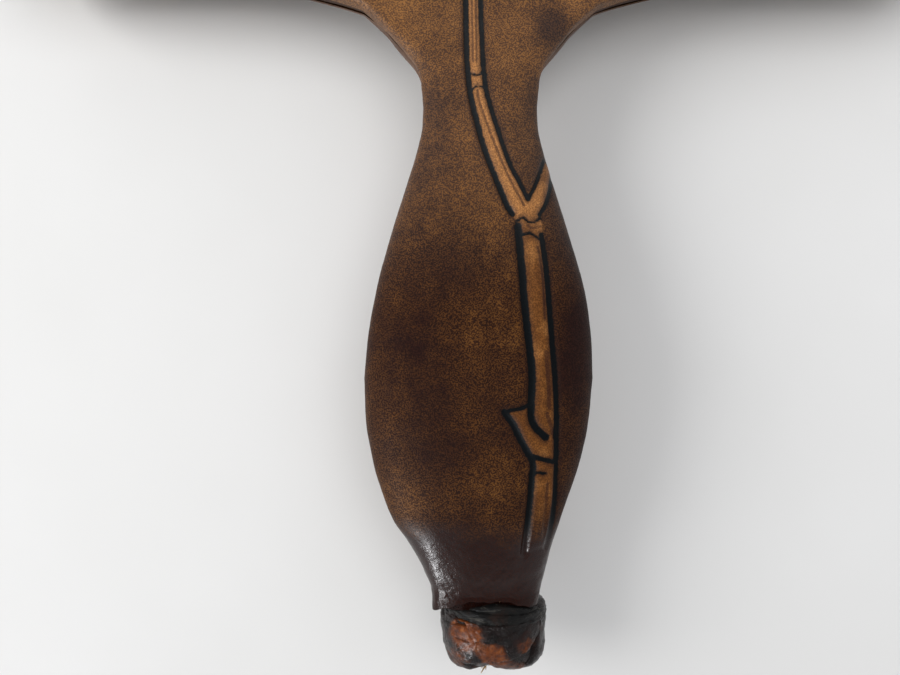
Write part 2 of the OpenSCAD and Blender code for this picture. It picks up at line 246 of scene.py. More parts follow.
def curve_points(controls, step=0.5):
    """Catmull-Rom curve through control points in a plane."""
    c = np.array(controls, float)
    c = np.vstack([2 * c[0] - c[1], c, 2 * c[-1] - c[-2]])
    out = []
    for a, b, d, e in zip(c[:-3], c[1:-2], c[2:-1], c[3:]):
        n = max(2, int(np.linalg.norm(d - b) / step))
        t = np.linspace(0, 1, n, endpoint=False)[:, None]
        out.append(0.5 * (2 * b + (d - a) * t + (2 * a - 5 * b + 4 * d - e) * t ** 2
                          + (3 * b - a - 3 * d + e) * t ** 3))
    out.append(c[-2][None])
    return np.vstack(out)


def waves(p, scale, seed, octaves=3):
    """Smooth pseudo-random field over points, about -1 to 1, from a few turned sine waves."""
    rng = np.random.default_rng(seed)
    p = np.asarray(p, float)
    out, size = np.zeros(p.shape[:-1]), 1.0
    for _ in range(octaves):
        for _ in range(3):
            d = rng.normal(size=3)
            d *= 2 * np.pi / scale / np.linalg.norm(d)
            out += size / 3 * np.sin(p @ d + rng.uniform(0, 6.3) + 0.9 * np.sin(p @ d[[1, 2, 0]] * 0.7))
        scale, size = scale / 2.1, size / 2
    return out


# ---- the tooled bamboo
FAR = 9.0                                 # distances are measured up to here


def distance_to(line, x, y):
    """Distance from each (x, y) to a polyline, up to FAR."""
    x, y = np.ravel(x), np.ravel(y)
    out = np.full(x.shape, FAR)
    lo, hi = line.min(axis=0) - FAR, line.max(axis=0) + FAR
    near = np.flatnonzero((x > lo[0]) & (x < hi[0]) & (y > lo[1]) & (y < hi[1]))
    px, py = x[near], y[near]
    best = np.full(near.shape, FAR)
    for a, b in zip(line[:-1], line[1:]):
        d = b - a
        t = np.clip(((px - a[0]) * d[0] + (py - a[1]) * d[1]) / max(d @ d, 1e-9), 0, 1)
        best = np.minimum(best, np.hypot(px - a[0] - t * d[0], py - a[1] - t * d[1]))
    out[near] = best
    return out


def inside(loop, x, y):
    """True where (x, y) is inside the closed loop."""
    x, y = np.ravel(x), np.ravel(y)
    odd = np.zeros(x.shape, bool)
    for a, b in zip(loop, np.roll(loop, -1, axis=0)):
        if a[1] == b[1]:
            continue
        crosses = (a[1] > y) != (b[1] > y)
        odd ^= crosses & (x < (b[0] - a[0]) * (y - a[1]) / (b[1] - a[1]) + a[0])
    return odd


# Each piece of the stalk: its two outlines as (x, distance from the board's edge), and their cut widths
STALK = [
    # the branch that runs up to the board, bottom to top
    ([(6.3, 52.8), (5.1, 50.8), (2.6, 44.5), (0.6, 39), (-1.1, 32.5), (-2, 28.5), (-2.6, 23.5),
      (-2.9, 17.5), (-3, 7.5), (-3.2, -4.5)],
     [(9.5, 49.5), (7.6, 45.7), (5.7, 41.9), (3.3, 34.7), (1.9, 30), (1.2, 27.3), (0.6, 22.5),
      (0.35, 17.5), (0.1, 7.5), (0.2, -4.5)], (1.15, 1.05)),
    # the short branch that runs off over the edge
    ([(9.6, 49.5), (10.7, 47.7), (11.7, 45.5), (12.6, 43.1), (13.2, 40.9)],
     [(11.9, 52.7), (13.1, 50.9), (14, 48.5), (14.6, 45.5), (15.2, 43.1)], (0.75, 0.9)),
    # the main stem; its left cut turns in under it, above the bud
    ([(7.4, 55.2), (7.8, 60.5), (8.2, 65), (8.5, 70), (9.2, 76.7), (10, 84), (9.9, 89.5),
      (9.8, 93), (10.3, 94.8), (11.4, 96.2), (12.9, 97.5)],
     [(12.3, 56.9), (13.1, 64), (13.6, 70.5), (14.1, 78), (14.8, 86.5), (15.1, 93.5), (15.1, 102.1)],
     (1.5, 1.25)),
    # the foot
    ([(10.2, 104.6), (9.9, 109.5), (9.5, 114.5), (8.8, 121.2)],
     [(15.1, 104.6), (15.1, 109.5), (14.7, 114.5), (13.6, 120.5)], (1.25, 1.1)),
]
# Cross cuts at the stalk's joints, the bud, and fine lines inside the stalk: points and width
JOINT_CUTS = [
    ([(7, 54.3), (8.4, 53.5), (9.4, 54.3), (10.6, 54.3), (12.2, 53.4)], 0.5),
    ([(7.6, 56.6), (8.6, 56.9), (9.6, 56.6), (10.6, 57), (12.4, 58.2)], 0.6),
    ([(10.4, 101.2), (12, 101.9), (13.6, 102.3), (15.1, 102.7)], 0.95),
    ([(10.3, 104.7), (11.6, 104.6), (12.8, 104.9)], 0.6),
    ([(-2.3, 23.1), (-0.8, 23.9), (0.9, 22.9)], 0.45), ([(-2, 26.9), (-0.6, 26.1), (1, 26.7)], 0.45),
    ([(9.9, 101.4), (10.35, 103.2), (10.2, 105.2)], 1.3),
    ([(15.1, 101.4), (15.15, 103.2), (15.1, 105.2)], 1.05),
]
BUD = [
    ([(4.5, 92.4), (6.2, 94.8), (7.5, 97.4), (8.8, 99.8), (10.1, 102)], 1.4),
    ([(4.5, 92.3), (6, 92), (7.6, 91.7), (9, 91.2)], 0.75),
]
INNER_LINES = [
    ([(-1.75, -2.5), (-1.7, 8.5), (-1.55, 21)], 0.24), ([(-0.95, -2.5), (-0.9, 8.5), (-0.8, 21)], 0.24),
    ([(-0.7, 27.1), (-0.3, 29.5), (1, 33.5), (2.6, 38), (4.6, 43.1), (6.9, 47.9), (8.6, 51.1)], 0.34),
    ([(11.3, 59.5), (12.2, 65.5), (12.6, 74)], 0.3), ([(12.8, 80.5), (13.3, 87.5), (13.4, 91.5)], 0.7),
    ([(13.2, 107), (13, 112), (12.7, 117.5)], 0.45), ([(12.9, 92.6), (13.7, 94.9), (14.6, 97.6)], 0.6),
    ([(12, 55.2), (10.4, 55.7), (9.2, 55.1)], 0.3),
]
# On the board's back the branch goes on, forks at a joint and carries leaves
BACK_STALK = [
    ([(-3.2, -3.5), (-3.6, -14.5), (-4.4, -26.5)], [(0.2, -3.5), (0.1, -14.5), (-0.6, -26.5)],
     (1.1, 1)),
    ([(-4.9, -30.1), (-7.6, -44.5), (-11.6, -58.5), (-17, -72.5), (-21.5, -80.5)],
     [(-1.3, -30.1), (-4.3, -44.5), (-8.8, -58.5), (-15, -72.5), (-21.5, -80.5)], (1, 0.95)),
    ([(-0.6, -29.7), (8, -38.9), (22, -47.5), (40, -54.1), (56, -57.5)],
     [(0.2, -26.7), (9.4, -36.5), (22.8, -45.5), (40.6, -52.9), (56, -57.5)], (0.85, 0.85)),
    ([(-9.4, -48.9), (-20, -54.5), (-34, -57.9), (-47, -59.1)],
     [(-8.8, -46.7), (-20, -52.7), (-34, -56.7), (-47, -59.1)], (0.75, 0.75)),
]
BACK_JOINTS = [
    ([(-4.9, -26.9), (-2.4, -27.7), (-0.2, -26.7)], 0.8),
    ([(-5.2, -29.9), (-2.6, -29.5), (-0.4, -30.1)], 0.8),
    ([(-11.4, -57.1), (-9.9, -57.5), (-8.6, -56.9)], 0.6), ([(22, -47.7), (22.6, -45.5)], 0.6),
]
# Joints between the pieces, raised like them: the fork, the knot above the foot, and one on the board
KNOTS = [
    [(6.4, 52.9), (5.5, 50.9), (7.4, 47), (9.5, 50.2), (11.4, 47.4), (13.3, 49.4), (12.2, 53),
     (12.6, 56.7), (7.4, 57.3)],
    [(10.1, 102.1), (15.1, 101.7), (15.1, 105.3), (10.3, 105.3)],
    [(-4.9, -26.5), (-0.1, -26.5), (-0.3, -30.5), (-5.2, -30.5)],
]
# The bud's side along the stalk
BUD_SIDE = [(15.1, 102.1), (15.1, 98), (13, 97.6), (11.4, 96.2), (10.3, 94.8), (9.8, 92.6)]
# Leaves: foot x, foot place, heading in degrees from +X, length, width
LEAVES = [(56, -57.5, -4, 34, 7.5), (49, -56.3, 38, 30, 6.8), (44, -54.3, -40, 27, 6.4),
          (31, -51.1, 58, 27, 6.6), (-21.5, -80.5, 118, 18, 5.4), (-18, -74.5, 62, 22, 6),
          (-20, -77, 165, 30, 6.8), (-15, -68.5, 200, 27, 6.4), (-47, -59.1, 178, 34, 7.2),
          (-42, -58.7, 138, 29, 6.6), (-37, -58.1, 222, 27, 6.4), (-27, -56.1, 245, 25, 6),
          (13, -42.1, -34, 30, 6.8), (6, -36.7, 78, 30, 6.6)]
BORDER_IN = 7.0                           # the tooled frame line, in from the board's edge


def leaf_shape(x, s, heading, length, width):
    """Outline and midrib of a narrow leaf, as (x, place) points."""
    t = np.linspace(0, 1, 24)
    half = width / 2 * (np.sin(np.pi * t ** 0.75) ** 0.9) * (1 - 0.25 * t)
    bend = 0.07 * length * np.sin(np.pi * t)
    c, d = math.cos(math.radians(heading)), math.sin(math.radians(heading))

    def place(length_, across):
        return np.stack([x + length_ * c - across * d, s - (length_ * d + across * c)], axis=1)

    one, two = place(length * t, bend + half), place(length * t, bend - half)
    return np.vstack([one, two[::-1]]), place(length * t[:-2], bend[:-2])


def frame_line(x, s):
    """Distance to the frame line tooled around the board's back."""
    middle = (Y_EDGE - HIDE_HI[1] + HIDE_T) / 2
    half = np.array([HIDE_HI[0], (HIDE_HI[1] - Y_EDGE + HIDE_T) / 2])
    q = np.stack([np.abs(x) - half[0] + CORNER, np.abs(s - middle) - half[1] + CORNER])
    within = CORNER - np.hypot(*np.maximum(q, 0)) - np.minimum(q.max(axis=0), 0)
    return np.abs(within - BORDER_IN)


def tooling(x, s):
    """The tooling at each (x, place): height in mm, and distances that the leather's dye follows."""
    shape = np.shape(x)
    x, s = np.ravel(x), np.ravel(s)
    cut = np.full(x.shape, FAR)           # distance to the nearest cut, less half its width
    fine = np.full(x.shape, FAR)          # the same for the fine lines
    stalk = np.full(x.shape, -FAR)        # how far inside a raised part
    height = np.zeros(x.shape)

    def carve(line, width, depth):
        nonlocal cut, height
        d = distance_to(curve_points(line), x, s)
        cut = np.minimum(cut, d - width / 2)
        height = np.minimum(height, -depth * bell(d, 0.62 * width, 4) - 0.16 * bell(d, 1.5 * width))

    def raise_part(loop):
        nonlocal stalk
        within = inside(loop, x, s)
        edge = distance_to(np.vstack([loop, loop[:1]]), x, s)
        stalk = np.maximum(stalk, np.where(within, edge, -edge))

    for left, right, cuts in STALK + BACK_STALK:
        raise_part(np.vstack([curve_points(left), curve_points(right)[::-1]]))
        carve(left, cuts[0], 0.56)
        carve(right, cuts[1], 0.48)
    for loop in KNOTS:
        raise_part(np.array(loop))
    raise_part(np.vstack([curve_points(BUD[0][0]), BUD_SIDE, curve_points(BUD[1][0])[::-1]]))
    for line, width in JOINT_CUTS + BUD + BACK_JOINTS:
        carve(line, width, 0.48)
    for leaf in LEAVES:
        loop, rib = leaf_shape(*leaf)
        raise_part(loop)
        carve(loop[::3], 0.7, 0.34)
        fine = np.minimum(fine, distance_to(rib, x, s) - 0.2)
    for line, width in INNER_LINES:
        fine = np.minimum(fine, distance_to(curve_points(line), x, s) - width / 2)
    ring = np.where(stalk > -1.0, FAR, frame_line(x, s))
    for at, width in ((0.0, 0.9), (2.2, 0.4)):
        cut = np.minimum(cut, np.abs(ring - at) - width / 2)
        height = np.minimum(height, -0.4 * bell(ring - at, 0.62 * width, 4))
    # A raised part swells towards its middle; its fine lines are pressed into it
    height += np.where(stalk > 0, 0.34 * (1 - np.exp(-np.maximum(stalk, 0) / 0.7)), 0)
    height -= 0.2 * bell(np.clip(fine, 0, FAR), 0.22) * (stalk > 0)
    found = {"height": height, "cut": cut, "fine": fine, "stalk": stalk}
    return {k: v.reshape(shape) for k, v in found.items()}


# How light the leather is along the handle: (place, tone)
TONE_ALONG = [(-115, 0.5), (-30, 0.56), (3, 0.68), (12, 0.66), (33, 0.52), (51, 0.42), (65, 0.28), (83, 0.24),
              (98, 0.24), (108, 0.27), (115, 0.23), (121, 0.12), (127, 0.05), (SKIRT_S + 1, 0.03)]
# Lighter and darker patches: x, place, their spread along each, and strength. The narrow lighter one at x -21,
# on the bulge's left edge, is a painted highlight
PATCHES = [(-15, 109, 4.5, 7, 0.14), (-3, 107, 7, 6, 0.07), (-21, 88, 2.5, 14, 0.03), (-17, 9, 5, 4, 0.09),
           (22, 7, 7, 3.5, 0.05), (-12, 19, 4, 10, 0.05), (14.5, 13, 4, 5.5, -0.45), (19, 78, 4.5, 20, -0.14),
           (-8, 100, 8, 6, -0.2), (-6, 63, 10, 6, -0.08), (-14, 79, 8, 12, -0.17), (-10, 26, 3.5, 10, -0.22),
           (-13, 45, 6, 9, -0.12), (2, 78, 6, 12, 0.06)]


def tone(x, s):
    """How light the leather is, 0 to 1, before its small blotches: its antiqued tone, with painted shade along
    the right side past the neck and a painted highlight on the bulge's left edge.
    """
    u = x / np.maximum(half_w(np.maximum(s, 0)), 1)
    t = along(TONE_ALONG, s)
    for cx, cs, rx, rs, k in PATCHES:
        t = t + k * bell(x - cx, rx) * bell(s - cs, rs)
    # Painted shade: past the neck the right side is darkened, as light from the left would leave it
    t = t - np.where(s > 23.5, 0.12 * smooth(0.55, 1.0, u), 0)
    return np.clip(t - 0.22 * smooth(40, 90, np.abs(x)) * smooth(6, -4, s), 0.0, 1.0)


# ---- leather of the back
ACROSS = 260                              # points across the handle's leather
Y_FRONT = Y_EDGE - HIDE_T                 # the leather's front face


def shoulder_places(count):
    """Places down the board's shoulder to the kink, closer together near the board."""
    return HIDE_T + (KINK_S - HIDE_T) * np.linspace(0, 1, count) ** 2


def half_outline():
    """Right half of the leather's outline as (x, y): far edge, side, front edge, shoulder and handle."""
    a = np.radians(np.arange(90, -1, -6))
    turn = CORNER * np.column_stack([np.cos(a), np.sin(a)])
    far_corner = HIDE_HI[:2] - CORNER + turn
    near_corner = np.array([HIDE_HI[0] - CORNER, Y_FRONT + CORNER]) + turn[::-1] * [1, -1]
    s = np.concatenate([shoulder_places(30), np.arange(KINK_S + 0.3, 40, 0.6)])
    handle = np.stack([half_w(s), Y_EDGE - s], axis=1)
    return np.vstack([[(0, HIDE_HI[1])], far_corner, near_corner, handle])


OUTLINE = half_outline()
SHOULDER_AT = int(np.argmin(np.abs(OUTLINE[:, 0] - THROAT_W / 2 - SPREAD) + (OUTLINE[:, 1] > Y_EDGE)))


def to_edge(x, y):
    """Distance inward from the leather's outline, up to FAR."""
    return distance_to(OUTLINE, np.abs(x), y).reshape(np.shape(x))


def rounded(d, radius=HIDE_T):
    """How far a rounded edge has dropped at a distance d from the outline."""
    return radius - np.sqrt(np.maximum(radius ** 2 - (radius - np.minimum(d, radius)) ** 2, 0))


def drape(x, s):
    """Slow unevenness of the leather, in mm."""
    at = xyz(x, s, 0)
    return 0.1 * waves(at, 34, 3) + 0.035 * waves(at, 7, 4)


def between_walls(w, tuck, wall, x, z, count):
    """A section down one side wall, over the curve (x, z) and up the other wall; tuck draws each wall in."""
    return resample(np.stack([np.concatenate([w - tuck, x, (tuck - w)[::-1]]),
                              np.concatenate([wall, z, wall[::-1]])], axis=1), count)


def handle_section(s, low):
    """The leather's outer face across the handle at s, from the +X seam over the top to the -X seam."""
    w, h = float(half_w(s)), HIDE_T + RISE_UP * float(held(CROWN_UP, s))
    x, rise = dome(w, h, 2.3 + 3.7 * max(0.0, 1 - s / NECK_S) ** 2, 361)
    wall = np.linspace(low, Z_BACK, 12)[:-1]
    tuck = 0.5 * (1 - (wall - low) / (Z_BACK - low)) ** 1.5 * float(smooth(KINK_S, KINK_S + 8, s))
    return between_walls(w, tuck, wall, x, Z_BACK + rise, ACROSS)


def tied(s):
    """How far the leather is drawn in just above its cut end, 0 to 1."""
    return smooth(SKIRT_S - 7, SKIRT_S - 3.4, s) * smooth(SKIRT_S + 0.5, SKIRT_S - 2.2, s)


LIP_X, LIP_W = -10.2, 2.6                 # the lip that droops from the cut end: its place across, and width


def handle_leather():
    """Back leather from the board's edge to its cut end, tooled, with its edges turned under."""
    places = np.concatenate([shoulder_places(34), np.arange(KINK_S + 0.4, SKIRT_S - 0.1, 0.42), [SKIRT_S]])
    lows = Z_BACK - LAP + (Z_SEAM - Z_BACK + LAP) * smooth(KINK_S - 1.5, KINK_S + 3.5, places)
    rings = np.stack([handle_section(s, low) for s, low in zip(places, lows)])
    s = np.repeat(places[:, None], ACROSS, axis=1)
    x, z = rings[..., 0], rings[..., 1]
    # Over the board's shoulders the leather is flat with a rounded edge; past the kink it is domed
    flat = np.where(z < Z_BACK - 1e-6, z, Z_TOP - rounded(to_edge(x, Y_EDGE - s)))
    z = flat + (z - flat) * smooth(KINK_S - 2, KINK_S + 6, s)
    p = xyz(x + lean(s), Y_EDGE - s, z)
    tool = tooling(p[..., 0], s)
    normal = grid_normals(p)
    normal *= np.sign(normal[:, ACROSS // 2, 2].mean())
    # The cut end is uneven, arches up in the middle, and droops into a lip on its left corner. Just above it
    # the leather is drawn in, except on its right
    near_end = smooth(SKIRT_S - 4, SKIRT_S, s)
    lip = bell(x - LIP_X, LIP_W) * smooth(SKIRT_S - 5, SKIRT_S, s)
    crumple = 0.16 * waves(p, 6.0, 9) * smooth(SKIRT_S - 16, SKIRT_S - 4, s)
    inner = smooth(0.0, 1.2, to_edge(x, Y_EDGE - s)) + smooth(KINK_S, KINK_S + 3, s)
    on_top = 1 - 0.85 * smooth(0.78, 0.96, np.abs(x) / half_w(s)) * smooth(KINK_S, KINK_S + 6, s)
    lift = tool.pop("height") * on_top + drape(x, s) * np.minimum(inner, 1) + crumple * 0.6
    lift -= 0.3 * tied(s) * smooth(9, 4, x)
    p = p + normal * lift[..., None]
    wave = 0.35 * np.sin(x * 0.9 + 1.3) + 0.22 * np.sin(x * 2.3)
    arch = 2.2 * (1 - np.minimum(np.abs(x) / half_w(s), 1) ** 2)
    p[..., 1] -= (lip * 0.9 + wave * 0.5 - arch + 0.1) * near_end
    p[..., 0] -= lip * 0.5
    # The edge is turned under: one thickness in, then a lining that wraps the end of the wood
    end = p[-1:]
    inner_end = end - normal[-1:] * HIDE_T * 0.78
    lining, middle = inner_end.copy(), np.array([lean(SKIRT_S), 0, Z_BACK - 4])
    lining[..., 1] = np.minimum(lining[..., 1], Y_SKIRT - 0.15)
    inmost = middle + (lining - middle) * 0.75
    inmost[..., 1] = lining[..., 1] - 0.05
    p = np.concatenate([p, end * 0.55 + inner_end * 0.45 - np.array([0, 0.12, 0]), inner_end, lining, inmost])
    values = {k: np.concatenate([v, np.repeat(v[-1:], 4, axis=0)]) for k, v in {**tool, "place": s}.items()}
    values["tone"] = tone(p[..., 0], values["place"])
    return mesh_object("handle_leather", p, grid_faces(p.shape[0], ACROSS), **values)


def spaced(half, step=0.56, close=2.4):
    """Places from -half to half: evenly spaced, and closer together near both ends."""
    inner = np.linspace(close - half, half - close, int(2 * (half - close) / step))
    end = half - close * np.linspace(1, 0, 10)[1:] ** 1.7
    return np.concatenate([-end[::-1], inner, end])


def board_leather():
    """Back leather over the board: tooled, rounded over the edges, lapped down, its edge turned in."""
    depth = (HIDE_HI[1] - Y_FRONT) / 2
    v = spaced(depth)
    u = spaced(HIDE_HI[0]) / HIDE_HI[0]
    into = np.maximum(0, np.abs(v) - depth + CORNER)
    width = HIDE_HI[0] - CORNER + np.sqrt(np.maximum(CORNER ** 2 - into ** 2, 0))
    x = width[:, None] * u[None]
    y = np.repeat((v + depth + Y_FRONT)[:, None], len(u), axis=1)
    s = Y_EDGE - y
    d = to_edge(x, y)
    tool = tooling(x, s)
    z = Z_TOP - rounded(d) + (tool.pop("height") + drape(x, s)) * smooth(0.0, 1.2, d)
    top = xyz(x, y, z)
    rows, cols = x.shape
    loop = rim(rows, cols)
    edge = top.reshape(-1, 3)[loop]
    ahead = np.roll(edge, -1, axis=0) - np.roll(edge, 1, axis=0)
    out = unit(np.stack([ahead[:, 1], -ahead[:, 0]], axis=1))
    # Down the side, with a small swell, then under and in
    walls = []
    for down, inward in ((0.25, 0), (0.5, 0), (0.75, 0.02), (0.9, 0.1), (1.0, 0.45), (0.98, 1.1)):
        walls.append(np.column_stack([edge[:, :2] - out * inward, np.full(len(edge), Z_BACK - down * LAP)]))
    points = np.vstack([top.reshape(-1, 3)] + walls)
    faces = grid_faces(rows, cols)
    on_edge = d.ravel()[loop] < 0.03
    levels = [loop] + [rows * cols + k * len(loop) + np.arange(len(loop)) for k in range(len(walls))]
    for a, b in zip(levels[:-1], levels[1:]):
        for k in np.flatnonzero(on_edge & np.roll(on_edge, -1)):
            m = (k + 1) % len(loop)
            faces.append([int(a[k]), int(b[k]), int(b[m]), int(a[m])])
    values = {k: np.concatenate([v.ravel()] + [v.ravel()[loop]] * len(walls)) for k, v in tool.items()}
    values["place"] = Y_EDGE - points[:, 1]
    values["tone"] = tone(points[:, 0], values["place"])
    return mesh_object("board_leather", points, faces, **values)


# ---- leather of the underside, and the edge band
def under_section(s, count):
    """The underside leather's outer face across the handle at s, from the +X seam below to the -X seam."""
    w = float(half_w(s)) - 0.05
    h = HIDE_T + RISE_DOWN * float(held(CROWN_DOWN, s))
    x, drop = dome(w, h, 2.2 + 6.0 * float(1 - smooth(8, 22, s)), 241)
    top = Z_TANG + 0.4 + (Z_SEAM - Z_TANG - 0.4) * float(smooth(7.2, 11, s))
    level = min(Z_TANG, top - 0.1)
    keep = Z_TANG - drop < level
    wall = np.linspace(top, level, 6)[:-1]
    tuck = 0.5 * float(smooth(12, 20, s)) * np.linspace(1, 0, 6)[:-1] ** 1.5
    return between_walls(w, tuck, wall, x[keep], Z_TANG - drop[keep], count)


def under_leather():
    """Plain leather below the flare and the handle."""
    across = 150
    places = np.concatenate([shoulder_places(26), np.arange(KINK_S + 0.6, SKIRT_S, 0.7), [SKIRT_S]])
    rings = np.stack([under_section(s, across) for s in places])
    s = np.repeat(places[:, None], across, axis=1)
    x, z = rings[..., 0], rings[..., 1]
    flat = Z_TANG - HIDE_T + rounded(to_edge(x, Y_EDGE - s))
    flat = np.where(z < Z_TANG - 1e-6, flat, z)
    z = flat + (z - flat) * smooth(KINK_S - 1, KINK_S + 3, s)
    p = xyz(x + lean(s), Y_EDGE - s, z)
    normal = grid_normals(p)
    normal *= -np.sign(normal[:, across // 2, 2].mean())
    p += normal * (0.5 * drape(x, s) - 0.1)[..., None]
    p -= normal * (0.4 * tied(s))[..., None]
    p[..., 2] = np.maximum(p[..., 2], UNDER_LO[2])
    # A flat tongue runs back under the board's edge; the cut end is turned in
    back = p[:1] + np.array([0, HIDE_T, 0])
    end = p[-1:] - normal[-1:] * HIDE_T
    p = np.concatenate([back, p, end, end + np.array([0, 4.0, 0])])
    return mesh_object("handle_under_leather", p, grid_faces(p.shape[0], across))


def band(loop, bottom, closed):
    """A strip of leather that stands on a line of (x, y) points, from bottom up to the lap, edges rounded."""
    ahead = np.roll(loop, -1, axis=0) - np.roll(loop, 1, axis=0) if closed else np.gradient(loop, axis=0)
    out = unit(np.stack([-ahead[:, 1], ahead[:, 0]], axis=1))
    up = np.array([0.0, 0.02, 0.12, 0.3, 0.5, 0.7, 0.88, 0.98, 1.0])
    inward = np.array([1.3, 0.7, 0.38, 0.26, 0.22, 0.26, 0.38, 0.7, 1.3])
    rows = []
    for a, b in zip(up, inward):
        z = np.full(len(loop), bottom + 0.02 + a * (Z_BACK - LAP - bottom - 0.1))
        ripple = 0.06 * waves(np.column_stack([loop, z]), 9, 5)
        rows.append(np.column_stack([loop - out * (b + 0.06 + ripple * (b < 0.5))[:, None], z]))
    return np.vstack(rows), grid_faces(len(rows), len(loop), closed)


def edge_band():
    """Leather below the lap: around the board's sides, and along both sides of the tang's flare. Its dark
    colour is partly painted shade of these side walls.
    """
    side = OUTLINE[:SHOULDER_AT]
    plate = np.vstack([side, side[::-1] * [-1, 1]])
    flare = OUTLINE[SHOULDER_AT:][OUTLINE[SHOULDER_AT:, 1] > Y_EDGE - KINK_S - 2]
    parts = [band(resample(np.vstack([plate, plate[:1]]), 700)[:-1], Z_BOARD, True)]
    for line in (flare, flare[::-1] * [-1, 1]):
        parts.append(band(resample(line, 110), Z_TANG, False))
    return mesh_object("board_edge_band", *merge(parts))


STITCH_PITCH, THREAD_R = 2.9, 0.27


def seam_stitches():
    """Slanted whip stitches of waxed thread across the seam, on both sides of the handle."""
    parts = []
    for side in (-1, 1):
        for k, s0 in enumerate(np.arange(24.0, SKIRT_S - 6, STITCH_PITCH)):
            t = np.linspace(-1, 1, 9)
            s = s0 + 0.75 * t * side
            reach = half_w(s) - 0.52 + 0.34 * (1 - t ** 4) - 0.55 * (np.abs(t) > 0.99)
            path = xyz(lean(s) + side * reach, Y_EDGE - s, Z_SEAM + 1.45 * t + 0.06 * math.sin(7.3 * k))
            parts.append(tube(path, THREAD_R + 0.03 * math.sin(3.1 * k), 7))
    return mesh_object("seam_thread", *merge(parts))


# ---- the braided knob
KNOB_AT = np.array([(GIRDLE_LO[0] + GIRDLE_HI[0]) / 2, GIRDLE_HI[1], (GIRDLE_LO[2] + GIRDLE_HI[2]) / 2])
KNOB_R = (GIRDLE_HI[0] - GIRDLE_LO[0]) / 2
KNOB_LONG = GIRDLE_HI[1] - STRAPS_LO[1] - 0.7


def knob_reach(d):
    """Distance from the knob's middle to its surface along d: boxy from above, domed from the side."""
    y = np.where(d[..., 1] < 0, d[..., 1] / (KNOB_LONG - 0.5), d[..., 1] / 3.0)
    across = np.hypot(d[..., 0], d[..., 2])
    n = 2.9 + 3.6 * (d[..., 0] / np.maximum(across, 1e-6)) ** 2
    return ((across / (KNOB_R - 0.3)) ** n + np.abs(y) ** n) ** (-1 / n)


def on_knob(x, y):
    """Unit vector from the knob's middle to its surface above (x, y), seen from above."""
    z = np.sqrt(np.maximum(KNOB_R ** 2 - x ** 2 - (y * KNOB_R / KNOB_LONG) ** 2, 0.5))
    return unit(np.array([x, y, z]))


# Straps of the braid: two places that the strap's middle passes on top, its width, lift and waviness phase
STRAPS = [((-9.6, -2.5), (-5.0, -9.6), 6.6, 0.0, 0.4), ((-1.4, -3.6), (3.6, -9.0), 6.0, 0.15, 1.7),
          ((10.0, -3.0), (5.4, -9.2), 6.0, 0.3, 2.6), ((-7.0, -2.6), (3.4, 0.6), 5.8, 0.5, 3.5),
          ((9.6, -0.2), (2.0, -4.0), 5.6, 0.7, 5.2)]
# Rubbed spots of the knob: x, y, radius, strength
SPOTS = [(-6.0, -2.0, 3.5, 1.1), (-0.6, -5.6, 3.0, 0.95), (1.0, -7.4, 2.8, 0.66), (6.4, -4.4, 2.8, 0.55),
         (-7.6, -7.4, 3.6, 0.5), (-2.6, -9.2, 3.2, 0.5), (4.6, -9.4, 2.6, 0.55), (-3.0, -4.4, 2.2, 0.55)]


def settle(p):
    """Points of the knob, from its middle, with its end flattened and its left side drawn in there."""
    p = p.copy()
    gap = KNOB_LONG - 0.1 + p[..., 1]
    p[..., 1] = 0.5 * (gap + np.sqrt(gap ** 2 + 0.5)) - KNOB_LONG + 0.1
    p[..., 0] *= 1 - 0.055 * smooth(-2, -8, p[..., 1]) * smooth(0, -4, p[..., 0])
    return p


def wear(p):
    """How rubbed the knob's leather is at each point, 0 to 1."""
    out, q = np.zeros(len(p)), p - KNOB_AT
    for x, y, r, k in SPOTS:
        # The far side is rubbed in the same way, turned round, and less
        for side, share in ((1, 1.0), (-1, 0.7)):
            gap = np.hypot(q[:, 0] - side * x, q[:, 1] - y)
            out = np.maximum(out, share * k * bell(gap, r, 3) * (side * q[:, 2] > 0))
    return out


def knob_strap(index, one, two, width, lift, phase):
    """One strap, right round the knob through two places on its top, waving over and under the others."""
    a = on_knob(*one)
    normal = unit(np.cross(a, on_knob(*two)))
    turn = circle(150)
    middle = np.cos(turn)[:, None] * a + np.sin(turn)[:, None] * np.cross(normal, a)
    across = np.linspace(-1, 1, 15)
    over = lift + 0.28 * np.sin(2 * turn + phase)
    rings = []
    for t in across:
        d = unit(middle * KNOB_R + normal * t * width / 2 * (1 + 0.1 * np.sin(3 * turn + phase))[:, None])
        d[:, 1] = np.where(d[:, 1] > 0.0, 0.06 * np.tanh(d[:, 1] / 0.06), d[:, 1])
        d = unit(d)
        puff = 1.15 * (1 - abs(t) ** 5) - 1.0 * (abs(t) > 0.999)
        r = knob_reach(d) + np.minimum(over + puff - 1.1, 0.3)
        p = d * r[:, None]
        r += 0.16 * waves(p, 3.6, 20 + index) + 0.07 * waves(p, 1.3, 30 + index)
        rings.append(KNOB_AT + settle(d * r[:, None]))
    p = np.stack(rings, axis=1).reshape(-1, 3)
    faces = np.array(grid_faces(len(turn) + 1, len(across))) % len(p)    # the last row is the first again
    rim_share = np.tile(np.abs(across), len(turn))
    return mesh_object(f"knob_strap_{index + 1}", p, faces.tolist(), wear=wear(p), rim=rim_share)


def knob_pad():
    """The braid's lower layer, which shows as dark leather in the gaps between the straps."""
    lat, lon = np.linspace(-np.pi / 2, np.pi / 2, 40)[:, None], circle(72)
    d = xyz(np.cos(lat) * np.cos(lon), np.sin(lat), np.cos(lat) * np.sin(lon))
    p = d * (knob_reach(d) - 0.55)[..., None]
    p = KNOB_AT + settle(p + d * (0.15 * waves(p, 3.0, 41))[..., None])
    size = p.shape[:2]
    faces = grid_faces(*size, closed=True)
    return mesh_object("knob_pad", p, faces, wear=np.zeros(size), rim=np.full(size, 0.8))


